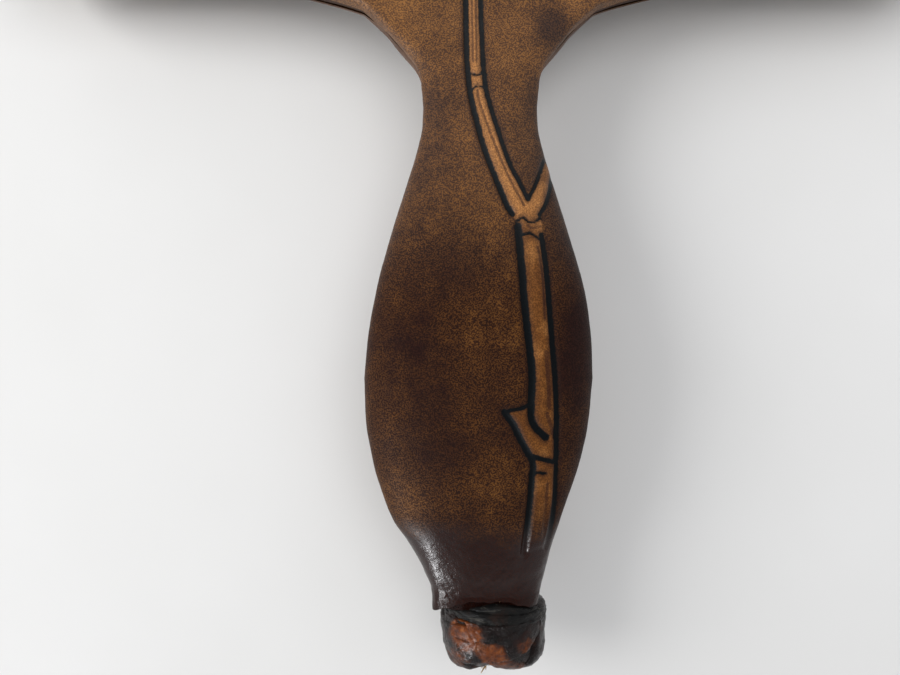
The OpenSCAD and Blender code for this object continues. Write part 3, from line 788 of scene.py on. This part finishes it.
# The lace's two turns: place along the knob, width, radius, and seed; and its radius under the leather
LACE = [(1.7, 4.2, 9.6, 51), (-0.7, 2.9, 10.3, 52)]
TUCKED_R = 8.3


def knob_collar():
    """Two turns of flat black lace under the leather's end, wrinkled and a little loose on the right."""
    parts, turn, t = [], circle(160), np.linspace(-1, 1, 17)[:, None]
    puff = 0.75 * (1 - np.abs(t) ** 4) - 1.2 * (np.abs(t) > 0.999)
    for y0, width, r0, seed in LACE:
        y = y0 + 1.9 + t * width / 2 - 0.9 * np.cos(turn)
        y = y + 0.25 * np.sin(turn + 0.6) + 0.12 * np.sin(3 * turn)
        r = r0 + puff + 0.35 * np.cos(turn - 0.2)
        # The part that goes up under the leather keeps clear of it
        under = Y_SKIRT - 0.9 + np.where(np.sin(turn) > 0, 2.2, 0.8) * np.sin(turn) ** 2
        r = r + (np.minimum(r, TUCKED_R) - r) * smooth(under - 0.5, under + 0.3, KNOB_AT[1] + y)
        p = KNOB_AT + xyz(r * np.cos(turn), y, r * np.sin(turn))
        fold = 0.18 * waves(p * [0.35, 1, 0.35], 1.3, seed) + 0.12 * waves(p, 4, seed + 5)
        p += xyz(np.cos(turn), 0, np.sin(turn)) * fold[..., None]
        parts.append((p, grid_faces(len(t), len(turn), closed=True)))
    return mesh_object("knob_collar_lace", *merge(parts))


def knob_fibres():
    """A few pale fibres that stick out where the braid closes over the end."""
    rng = np.random.default_rng(17)
    parts = []
    for _ in range(44):
        x, z = rng.normal(0, 1.2), rng.normal(0.6, 1.2)
        foot = KNOB_AT + [x - 0.3, -KNOB_LONG + 0.7, z]
        lean_x, lean_z, reach = rng.normal(0, 0.5), rng.normal(0.1, 0.5), rng.uniform(0.6, 1.2)
        t = np.linspace(0, 1, 6)[:, None]
        path = foot + np.array([lean_x, -reach, lean_z]) * t + np.array([rng.normal(0, 0.4), 0, 0.3]) * t ** 2
        path[:, 1] = np.maximum(path[:, 1], -HIDE_HI[1] - 0.9)
        parts.append(tube(path, np.linspace(0.2, 0.08, 6), 5))
    return mesh_object("knob_fibres", *merge(parts))


# ---- the card clothing
def slab(lo, hi, step, bulge, seed):
    """Points and faces of a block of felt or leather, its edges rounded and its faces slightly uneven."""
    nx, ny = [max(3, int((hi[k] - lo[k]) / step)) for k in (0, 1)]
    x, y = np.linspace(lo[0], hi[0], nx), np.linspace(lo[1], hi[1], ny)
    gx, gy = np.meshgrid(x, y)
    r = min(0.45, (hi[2] - lo[2]) / 2.2)
    sheets = []
    for up in (1, -1):
        d = np.minimum.reduce([gx - lo[0], hi[0] - gx, gy - lo[1], hi[1] - gy])
        uneven = bulge * (1 + waves(xyz(gx, gy, up), 6, seed)) * smooth(0, 2, d)
        z = (hi[2] if up > 0 else lo[2]) - up * (rounded(d, r) + uneven)
        sheets.append(xyz(gx, gy, z).reshape(-1, 3))
    loop = rim(ny, nx)
    faces = grid_faces(ny, nx) + [f[::-1] for f in grid_faces(ny, nx, first=nx * ny)]
    for k, m in zip(loop, np.roll(loop, -1)):
        faces.append([int(k), int(k + nx * ny), int(m + nx * ny), int(m)])
    return np.vstack(sheets), faces


TOOTH_PITCH = 2.35                        # between wires, across and along
WIRE_R, TIP_R = 0.21, 0.06
KNEE = 0.38                               # height of a wire's bend, as a share of its free height
TIP_LEAN = 1.9                            # how far the tips lean toward the handle


def teeth(name, parity):
    """Every other row of fine bent wires: out of the foundation, bent at the knee, and pointed at the tip."""
    rng = np.random.default_rng(60 + parity)
    xs = np.arange(TOOTH_LO[0] + 0.3, TOOTH_HI[0] - 0.2, TOOTH_PITCH)
    ys = np.arange(TOOTH_LO[1] + 2.4, TOOTH_HI[1] - 0.2, TOOTH_PITCH)[parity::2]
    knee = CLOTH_LO[2] * KNEE
    side = np.column_stack([np.cos(circle(6)), np.sin(circle(6))])
    gx, gy = np.meshgrid(xs + parity * TOOTH_PITCH / 2, ys)
    foot = np.column_stack([gx.ravel(), gy.ravel()])
    n = len(foot)
    bend = rng.normal(0, 0.12, (n, 2))
    wild = (rng.random(n) < 0.03)[:, None] * rng.normal(0, 0.8, (n, 2))
    tip = np.clip(foot - [0, TIP_LEAN] + bend + wild, TOOTH_LO[:2] + 0.2, TOOTH_HI[:2] - 0.2)
    levels = [(CLOTH_LO[2] + 0.5, foot, WIRE_R), (knee + 0.7, foot + bend * 0.3, WIRE_R),
              (knee - 0.2, foot - [0, 0.25] + bend * 0.5, WIRE_R),
              (0.9, tip * 0.82 + foot * 0.18, WIRE_R), (0.05, tip, TIP_R)]
    rings = [np.concatenate([at[:, None] + r * side, np.full((n, 6, 1), z)], axis=2) for z, at, r in levels]
    p = np.stack(rings, axis=1)           # wire, level, corner
    first = np.arange(n)[:, None] * (len(levels) * 6)
    one = np.array(grid_faces(len(levels), 6, closed=True))[:, [0, 3, 2, 1]]    # turned to face outward
    faces = (one[:, None] + first).reshape(-1, 4).tolist()
    faces += (first + np.arange((len(levels) - 1) * 6, len(levels) * 6)[::-1]).tolist()
    return mesh_object(name, p, faces)


STRIP_W = 6.0                             # width of a border strip, with the tacks along its middle


def tack_places():
    """Where the tacks are, as in the CAD: ten along each long strip, and three more on each short one."""
    half_x, half_y = (CLOTH_HI[:2] - CLOTH_LO[:2] - STRIP_W) / 2
    middle = (CLOTH_LO[1] + CLOTH_HI[1]) / 2
    long_ = [(x, middle + side * half_y) for x in np.linspace(-half_x, half_x, 10) for side in (-1, 1)]
    short = [(side * half_x, y) for y in middle + np.linspace(-half_y, half_y, 5)[1:-1] for side in (-1, 1)]
    return np.array(long_ + short)


def tacks():
    """Domed brass tacks, each with a rolled rim and a slightly different tilt."""
    rng = np.random.default_rng(71)
    # The head's profile from its middle out: share of its radius, and of its height
    out, up = np.array([(0.04, 0.0), (0.35, 0.06), (0.62, 0.22), (0.84, 0.48), (0.97, 0.78), (1.0, 0.93),
                        (0.97, 1.0), (0.86, 1.0)]).T[..., None]
    r = out * (TACK_HI[0] - CLOTH_HI[0] + STRIP_W / 2)
    low = TACK_LO[2] + 0.08
    z = low + (STRIP_LO[2] + 0.05 - low) * up
    parts, a = [], circle(28)
    for x, y in tack_places():
        tilt = rng.normal(0, 0.03, 2)
        ring = xyz(x + r * np.cos(a), y + r * np.sin(a), z)
        ring[..., 2] += (ring[..., 0] - x) * tilt[0] + (ring[..., 1] - y) * tilt[1]
        parts.append((ring, grid_faces(len(up), len(a), closed=True) + [list(range(len(a)))]))
    return mesh_object("brass_tacks", *merge(parts))


def border_strips():
    """Four strips of leather, dented where the tacks hold them."""
    places = tack_places()
    (x0, y0, z0), (x1, y1, z1), w = STRIP_LO, STRIP_HI, STRIP_W
    parts = []
    for k, box in enumerate(((x0, y0, x1, y0 + w), (x0, y1 - w, x1, y1), (x0, y0 + w, x0 + w, y1 - w),
                             (x1 - w, y0 + w, x1, y1 - w))):
        left, near, right, far = box
        lo, hi = (left + 0.03, near + 0.03, z0 + 0.1), (right - 0.03, far - 0.03, z1 - 0.02)
        p, f = slab(lo, hi, 0.6, 0.05, 80 + k)
        gap = np.linalg.norm(p[:, None, :2] - places, axis=-1).min(axis=1)
        p[:, 2] += np.where(p[:, 2] < (z0 + z1) / 2, 0.22 * bell(gap, 2.6), 0)
        parts.append((p, f))
    return mesh_object("leather_border", *merge(parts))


# ---- materials
def rgba(colour):
    """A colour with its alpha; a socket stays as it is."""
    return (*colour, 1) if isinstance(colour, tuple) else colour


class Nodes:
    """Short calls that add shader nodes; each returns an output socket."""

    def __init__(self, name):
        self.material = bpy.data.materials.new(name)
        self.material.use_nodes = True
        self.tree = self.material.node_tree
        self.tree.nodes.clear()
        self.p = self.scaled(self.node("TexCoord", "Object", {}), 1 / MM)    # the place on the object, in mm

    def node(self, kind, output, inputs, **settings):
        """Adds a node with its settings, fills the inputs given by number or name, and returns one output."""
        n = self.tree.nodes.new("ShaderNode" + kind)
        for key, value in settings.items():
            setattr(n, key, value)
        for key, value in inputs.items():
            if isinstance(value, bpy.types.NodeSocket):
                self.tree.links.new(value, n.inputs[key])
            elif value is not None:
                n.inputs[key].default_value = value
        return n.outputs[output]

    def math(self, kind, a, b):
        return self.node("Math", 0, {0: a, 1: b}, operation=kind)

    def add(self, a, b):
        return self.math("ADD", a, b)

    def take(self, a, b):
        return self.math("SUBTRACT", a, b)

    def times(self, a, b):
        return self.math("MULTIPLY", a, b)

    def vector(self, kind, a, b):
        return self.node("VectorMath", 0, {0: a, 1: b}, operation=kind)

    def scaled(self, a, k):
        return self.node("VectorMath", 0, {0: a, "Scale": k}, operation="SCALE")

    def noise(self, scale, detail=2.0, rough=0.5, warp=0.0, at=None):
        return self.node("TexNoise", "Fac", {"Vector": at or self.p, "Scale": scale, "Detail": detail,
                                             "Roughness": rough, "Distortion": warp})

    def cells(self, scale, feature, at=None):
        return self.node("TexVoronoi", "Distance", {"Vector": at or self.p, "Scale": scale}, feature=feature)

    def wave(self, scale, axis, warp=0.0, warp_scale=1.0, at=None):
        return self.node("TexWave", "Fac", {"Vector": at or self.p, "Scale": scale, "Distortion": warp,
                                            "Detail Scale": warp_scale}, bands_direction=axis)

    def stretched(self, x, y, z):
        return self.vector("MULTIPLY", self.p, (x, y, z))

    def warp(self, amount, scale):
        """The place, shifted about by noise, to break up straight patterns."""
        colour = self.node("TexNoise", "Color", {"Vector": self.p, "Scale": scale})
        shift = self.vector("SUBTRACT", colour, (0.5, 0.5, 0.5))
        return self.vector("ADD", self.p, self.scaled(shift, amount))

    def attribute(self, name):
        return self.node("Attribute", "Fac", {}, attribute_name=name)

    def range(self, value, a, b, to_a=0.0, to_b=1.0):
        return self.node("MapRange", 0, {0: value, 1: a, 2: b, 3: to_a, 4: to_b},
                         interpolation_type="SMOOTHSTEP")

    def ramp(self, value, *stops):
        out = self.node("ValToRGB", "Color", {0: value})
        e = out.node.color_ramp.elements
        while len(e) < len(stops):
            e.new(0.5)
        for element, (at, colour) in zip(e, stops):
            element.position, element.color = at, (*colour, 1)
        return out

    def mix(self, factor, a, b):
        return self.node("Mix", 2, {"Factor": factor, 6: rgba(a), 7: rgba(b)}, data_type="RGBA")

    def bump(self, height, strength=1.0, distance_mm=0.1, normal=None):
        return self.node("Bump", 0, {"Strength": strength, "Distance": distance_mm * MM, "Height": height,
                                     "Normal": normal})

    def finish(self, colour, roughness, normal=None, spec=0.5, metallic=0.0):
        """Makes the surface, and returns the material."""
        surface = self.node("BsdfPrincipled", 0, {
            "Base Color": rgba(colour), "Roughness": roughness, "Normal": normal, "Specular IOR Level": spec,
            "Metallic": metallic})
        out = self.tree.nodes.new("ShaderNodeOutputMaterial")
        self.tree.links.new(surface, out.inputs["Surface"])
        return self.material


def tooled_leather():
    """Antiqued, waxed leather: a fine worm-like grain, blotches, blue-black cuts and orange-tan stalks."""
    n = Nodes("tooled_leather")
    wavy = n.warp(0.35, 1.6)
    worms = n.noise(3.8, 0.6, 0.5, 0.25, at=wavy)
    pores = n.cells(3.0, "SMOOTH_F1", at=wavy)
    grain = n.range(worms, 0.4, 0.64)
    blotch = n.noise(0.055, 4, 0.62)
    streak = n.noise(0.22, 3, 0.6)
    place, cut, stalk = [n.attribute(name) for name in ("place", "cut", "stalk")]
    level = n.add(n.attribute("tone"), n.times(n.take(blotch, 0.5), 0.6))
    level = n.add(level, n.times(n.take(streak, 0.5), 0.3))
    level = n.take(level, n.range(place, 114, 124, 0.0, 0.25))
    low = n.ramp(level, (0.0, (0.012, 0.004, 0.003)), (0.3, (0.018, 0.006, 0.0032)),
                 (0.55, (0.054, 0.02, 0.0075)), (0.85, (0.12, 0.048, 0.014)))
    high = n.ramp(level, (0.0, (0.024, 0.007, 0.0045)), (0.3, (0.088, 0.033, 0.0085)),
                  (0.55, (0.2, 0.081, 0.017)), (0.85, (0.32, 0.136, 0.03)))
    colour = n.mix(grain, low, high)
    # The stalk: less antique left on it, so it is more orange
    in_stalk = n.times(n.range(stalk, -0.1, 0.35), n.range(place, 118, 108))
    clean = n.add(n.times(streak, 0.45), n.range(place, 60, 25, 0.0, 0.32))
    bark = n.ramp(n.add(n.times(level, 0.75), clean),
                  (0.1, (0.08, 0.025, 0.008)), (0.42, (0.2, 0.074, 0.017)), (0.75, (0.5, 0.215, 0.062)))
    bark = n.mix(n.times(n.take(1.0, grain), 0.5), bark, low)
    colour = n.mix(in_stalk, colour, bark)
    # Dye in the cuts, with an uneven edge
    edge = n.times(n.take(n.noise(1.2, 3, 0.6), 0.5), 0.5)
    in_fine = n.range(n.add(n.attribute("fine"), edge), 0.22, -0.05)
    colour = n.mix(n.times(n.times(in_fine, in_stalk), 0.65), colour, (0.03, 0.01, 0.008))
    colour = n.mix(n.times(n.range(cut, 1.2, 0.0), 0.4), colour, (0.024, 0.011, 0.009))
    in_cut = n.times(n.range(n.add(cut, edge), 0.14, -0.12), n.range(place, 122, 115))
    colour = n.mix(in_cut, colour, (0.0035, 0.005, 0.0062))
    # Fine scratches, spread evenly over the leather
    scratch = n.range(n.cells(0.12, "DISTANCE_TO_EDGE", at=n.warp(9.0, 0.06)), 0.012, 0.0)
    colour = n.mix(n.times(scratch, 0.22), colour, (0.018, 0.009, 0.007))
    # The dark end is waxed smooth, and the leather reflects less along the bulge and over the board
    shine = n.range(place, 113, 121)
    spec = n.times(n.range(place, 75, 35, 0.1, 0.5), n.range(place, -18, 2, 0.35, 1.0))
    spec = n.add(spec, n.times(shine, n.range(place, 126, 132, 0.2, 0.04)))
    rough = n.add(n.range(worms, 0.3, 0.7, 0.62, 0.5), n.times(shine, -0.3))
    height = n.add(n.times(grain, 0.5), n.times(pores, 0.5))
    height = n.times(height, n.range(shine, 0.0, 1.0, 1.0, 0.35))
    height = n.add(height, n.times(n.noise(0.8, 3, 0.6), n.times(shine, 2.2)))
    normal = n.bump(n.range(cut, 0.25, -0.35), -0.5, 0.25, n.bump(height, 0.5, 0.08))
    return n.finish(colour, rough, normal, spec)


def plain_leather(name, dark, light, roughness, grain_scale=2.0, spec=0.35):
    """Smooth leather with a pored grain, handling marks and darker soiling."""
    n = Nodes(name)
    worms = n.noise(grain_scale, 2.0, 0.5, 0.3, at=n.warp(0.4, 1.4))
    blotch = n.noise(0.07, 5, 0.65)
    level = n.add(n.times(blotch, 0.8), n.times(worms, 0.35))
    colour = n.ramp(level, (0.3, dark), (0.8, light))
    scuff = n.range(n.noise(0.35, 6, 0.75, 1.2), 0.56, 0.72)
    colour = n.mix(n.times(scuff, 0.35), colour, tuple(min(1, 1.7 * c) for c in light))
    pores = n.cells(grain_scale * 0.9, "SMOOTH_F1")
    normal = n.bump(n.add(n.times(pores, 0.6), worms), 0.5, 0.09)
    return n.finish(colour, n.range(blotch, 0.3, 0.7, roughness + 0.08, roughness - 0.08), normal, spec)


def knob_leather():
    """The braid's leather: nearly black with hand grease, glossy, and rubbed to orange-brown in places."""
    n = Nodes("knob_leather")
    worn = n.add(n.attribute("wear"), n.times(n.take(n.noise(0.8, 4, 0.6, 0.6), 0.5), 0.7))
    worn = n.range(worn, 0.3, 0.72)
    cloud = n.noise(0.35, 4, 0.6)
    dark = n.ramp(cloud, (0.3, (0.0045, 0.0042, 0.0042)), (0.55, (0.01, 0.0055, 0.0048)),
                  (0.75, (0.034, 0.01, 0.007)))
    tan = n.ramp(n.noise(0.9, 4, 0.6), (0.3, (0.04, 0.01, 0.004)), (0.55, (0.15, 0.037, 0.0075)),
                 (0.75, (0.26, 0.078, 0.014)))
    colour = n.mix(worn, dark, tan)
    crack = n.range(n.noise(2.4, 4, 0.7, 1.5, at=n.warp(1.0, 0.5)), 0.46, 0.36)
    colour = n.mix(n.times(crack, 0.7), colour, (0.014, 0.007, 0.006))
    colour = n.mix(n.range(n.attribute("rim"), 0.75, 1.0), colour, (0.011, 0.007, 0.006))
    height = n.add(n.noise(0.9, 4, 0.6, 1.0), n.times(crack, -0.4))
    return n.finish(colour, n.range(cloud, 0.3, 0.7, 0.2, 0.36), n.bump(height, 0.5, 0.25), spec=0.2)


def lace():
    """Flat black lace, creased along its length, with a painted grey-green sheen on its creases."""
    n = Nodes("black_lace")
    crease = n.noise(0.9, 5, 0.65, 0.8, at=n.stretched(0.35, 1.6, 0.35))
    cloud = n.noise(0.3, 4, 0.6)
    colour = n.ramp(cloud, (0.3, (0.005, 0.0055, 0.006)), (0.55, (0.008, 0.0075, 0.007)),
                    (0.75, (0.022, 0.01, 0.007)))
    # Painted sheen: the creases' ridges are lightened to grey-green
    colour = n.mix(n.range(crease, 0.6, 0.7), colour, (0.06, 0.056, 0.048))
    return n.finish(colour, n.range(crease, 0.35, 0.65, 0.28, 0.5), n.bump(crease, 0.9, 0.5), spec=0.18)


def wood(name, dark, light, ring_scale=0.16, roughness=0.5):
    """Wood with its grain along the handle: growth bands, fibres, and a few darker flecks."""
    n = Nodes(name)
    stretched = n.stretched(1.0, 0.06, 1.0)
    bands = n.wave(ring_scale, "X", 3.5, 1.2, at=stretched)
    fibre = n.noise(2.6, 4, 0.65, at=stretched)
    fleck = n.range(n.noise(1.4, 2, 0.5, at=n.stretched(1.0, 0.25, 1.0)), 0.68, 0.76)
    colour = n.ramp(n.add(n.times(bands, 0.55), n.times(fibre, 0.5)), (0.2, dark), (0.85, light))
    colour = n.mix(n.times(fleck, 0.5), colour, tuple(0.55 * c for c in dark))
    soil = n.noise(0.05, 4, 0.6)
    colour = n.mix(n.range(soil, 0.5, 0.75, 0.0, 0.4), colour, tuple(0.6 * c for c in dark))
    normal = n.bump(n.add(fibre, n.times(bands, 0.4)), 0.4, 0.08)
    return n.finish(colour, n.range(fibre, 0.3, 0.7, roughness + 0.1, roughness - 0.08), normal, spec=0.35)


def thread():
    """Waxed linen, laid up of two plies."""
    n = Nodes("waxed_thread")
    ply = n.wave(1.1, "DIAGONAL", 0.6, 2.0)
    colour = n.ramp(n.add(n.times(ply, 0.5), n.times(n.noise(0.5, 4), 0.5)),
                    (0.2, (0.07, 0.036, 0.016)), (0.8, (0.27, 0.175, 0.085)))
    return n.finish(colour, n.range(ply, 0.2, 0.8, 0.62, 0.48), n.bump(ply, 0.8, 0.1), spec=0.3)


def fibres():
    """Raw fibre, pale and dull."""
    n = Nodes("raw_fibre")
    colour = n.ramp(n.noise(1.5, 3), (0.3, (0.3, 0.16, 0.05)), (0.7, (0.55, 0.37, 0.17)))
    return n.finish(colour, n.range(n.noise(3.0), 0.3, 0.7, 0.9, 0.7), n.bump(n.noise(6.0), 0.5, 0.05))


def felt():
    """The foundation: layers of cloth faced with leather, greasy from the fleece, with a pricked look."""
    n = Nodes("foundation_cloth")
    weave = n.times(n.wave(1.5, "X", 0.6, 2.0), n.wave(1.5, "Y", 0.6, 2.0))
    cloud = n.noise(0.06, 5, 0.65)
    level = n.add(n.times(weave, 0.35), n.times(cloud, 0.75))
    colour = n.ramp(level, (0.25, (0.15, 0.095, 0.05)), (0.8, (0.42, 0.31, 0.19)))
    layers = n.range(n.wave(0.9, "Z", 0.3), 0.25, 0.6)
    colour = n.mix(n.times(layers, 0.18), colour, (0.1, 0.065, 0.04))
    fuzz = n.noise(3.0, 4, 0.7)
    normal = n.bump(n.add(n.times(weave, 0.7), fuzz), 0.6, 0.12)
    return n.finish(colour, n.range(fuzz, 0.3, 0.7, 0.92, 0.78), normal, spec=0.2)


def metal(name, dark, light, roughness, scale):
    """Metal with tarnish in patches and fine handling scratches."""
    n = Nodes(name)
    tarnish = n.noise(scale, 5, 0.65, 0.4)
    scratch = n.noise(3.0, 3, 0.6, at=n.stretched(4.0, 1.0, 1.0))
    colour = n.mix(n.range(tarnish, 0.4, 0.68), light, dark)
    rough = n.add(n.range(tarnish, 0.3, 0.7, roughness - 0.06, roughness + 0.16), n.times(scratch, 0.1))
    return n.finish(colour, rough, n.bump(scratch, 0.25, 0.03), metallic=1.0)


def floor_material():
    """A white, slightly glossy table top, a little clouded."""
    n = Nodes("table_top")
    cloud = n.noise(0.012, 3, 0.5)
    colour = n.ramp(cloud, (0.3, (0.79, 0.79, 0.785)), (0.7, (0.83, 0.83, 0.83)))
    return n.finish(colour, n.range(n.noise(0.05, 4, 0.6), 0.3, 0.7, 0.62, 0.7), spec=0.12)


def floor():
    """The table under the teeth, at z = 0."""
    bpy.ops.mesh.primitive_plane_add(size=30, location=(0, 0, 0))
    ob = bpy.context.object
    ob.name = "table_top"
    ob.data.materials.append(floor_material())


# ---- camera and light
LENS, SENSOR = 29.5, 36.0
CAMERA_AT = (-6.3, -59.05, 178.0)


def camera():
    """Straight down over the handle, close, as a phone held above it."""
    cam = bpy.data.objects.new("camera", bpy.data.cameras.new("camera"))
    bpy.context.scene.collection.objects.link(cam)
    cam.data.lens, cam.data.sensor_width = LENS, SENSOR
    cam.data.clip_start = 0.01
    cam.location = Vector(CAMERA_AT) * MM
    bpy.context.scene.camera = cam


ROOM, OVERHEAD = 0.68, 0.26               # strength of the room's light: low down, and straight overhead
WINDOW, CEILING, PANE = 4.0, 0.8, 2.8     # watts


def area_light(name, at, towards, size, watts, colour, seen_by):
    """A round lamp, in metres, that shows either in diffuse light or in reflections."""
    data = bpy.data.lights.new(name, "AREA")
    data.shape, data.size, data.energy, data.color = "DISK", size, watts, colour
    ob = bpy.data.objects.new(name, data)
    ob.location = at
    ob.visible_glossy, ob.visible_diffuse = seen_by == "glossy", seen_by == "diffuse"
    ob.rotation_euler = (Vector(towards) - Vector(at)).to_track_quat("-Z", "Y").to_euler()
    bpy.context.scene.collection.objects.link(ob)


def lights():
    """A pale room, darker straight overhead, with three lamps.

    The window is broad and to the left, and throws the soft shadow on the right. The ceiling fills that
    shadow a little. The pane is small and near, and makes the narrow sheens; it lights nothing else.
    """
    world = bpy.data.worlds.new("studio")
    bpy.context.scene.world = world
    world.use_nodes = True
    tree = world.node_tree
    coords, split, span = [tree.nodes.new(kind) for kind in
                           ("ShaderNodeTexCoord", "ShaderNodeSeparateXYZ", "ShaderNodeMapRange")]
    span.interpolation_type = "SMOOTHSTEP"
    for socket, value in zip(list(span.inputs)[1:5], (0.62, 0.9, ROOM, OVERHEAD)):
        socket.default_value = value
    tree.links.new(coords.outputs["Generated"], split.inputs[0])
    tree.links.new(split.outputs["Z"], span.inputs[0])
    tree.links.new(span.outputs[0], tree.nodes["Background"].inputs[1])
    tree.nodes["Background"].inputs[0].default_value = (0.97, 0.98, 1.0, 1)
    area_light("window", (-0.64, 0.06, 0.46), (0, 0.02, 0), 0.5, WINDOW, (1.0, 0.99, 0.97), "diffuse")
    area_light("ceiling", (0.12, 0.04, 0.52), (0.06, 0.04, 0), 0.4, CEILING, (1.0, 0.99, 0.98), "diffuse")
    area_light("pane", (-0.42, -0.46, 0.26), (0, -0.08, 0.02), 0.14, PANE, (0.97, 0.98, 1.0), "glossy")


# ---- putting it together
def dress(ob, material, slot, *nodes):
    """Gives a piece its material, and hides the CAD nodes that it stands for; slot is not used."""
    ob.data.materials.append(material)
    if nodes:
        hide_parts(*nodes)


def repaint(node, material):
    """Gives a CAD node a material, in the slots that it has."""
    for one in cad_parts[node].material_slots:
        one.material = material


bpy.context.scene.view_settings.view_transform = "Standard"
camera()
lights()
floor()

tooled = tooled_leather()
dress(handle_leather(), tooled, "tooled_leather", "back_leather")
dress(board_leather(), tooled, "tooled_leather", "back_leather")
dress(under_leather(), plain_leather("underside_leather", (0.04, 0.017, 0.008), (0.15, 0.066, 0.028), 0.5),
      "plain_leather", "under_leather")
# The edge leather's dark colours are partly painted shade of the side walls below the lap
dress(edge_band(), plain_leather("edge_leather", (0.018, 0.009, 0.005), (0.072, 0.031, 0.014), 0.48,
                                 spec=0.2), "edge_leather", "edge_band")
dress(seam_stitches(), thread(), "thread", "seam_stitches")

knob = knob_leather()
for number, strap in enumerate(STRAPS):
    dress(knob_strap(number, *strap), knob, "strap_leather", "knob_straps", "knob_girdle")
dress(knob_pad(), knob, "strap_leather", "knob_straps")
dress(knob_collar(), lace(), "black_leather", "knob_collar")
dress(knob_fibres(), fibres(), "thread", "knob_straps")

wire = metal("card_wire", (0.2, 0.17, 0.14), (0.56, 0.55, 0.53), 0.3, 0.25)
for parity, label in enumerate(("even", "odd")):
    dress(teeth(f"card_teeth_{label}", parity), wire, "card_wire", "outer_staples", "inner_staples")
dress(mesh_object("card_foundation_cloth", *slab(CLOTH_LO, CLOTH_HI - [0, 0, 0.02], 0.9, 0.05, 90)), felt(),
      "foundation_leather", "card_foundation")
dress(border_strips(), plain_leather("strip_leather", (0.03, 0.009, 0.007), (0.1, 0.03, 0.02), 0.46),
      "strip_leather", "border_strips")
dress(tacks(), metal("tack_brass", (0.25, 0.13, 0.045), (0.72, 0.5, 0.2), 0.28, 0.5), "tack_brass",
      "border_tacks")

repaint("carding_board", wood("board_wood", (0.3, 0.17, 0.075), (0.58, 0.4, 0.22)))
cheek_wood = wood("cheek_wood", (0.26, 0.15, 0.07), (0.52, 0.36, 0.2), 0.2)
repaint("upper_cheek", cheek_wood)
repaint("lower_cheek", cheek_wood)
repaint("cheek_dowels", wood("dowel_wood", (0.36, 0.24, 0.12), (0.64, 0.48, 0.29), 0.5))
repaint("knob_core", wood("knob_wood", (0.2, 0.11, 0.05), (0.42, 0.27, 0.14), 0.4))
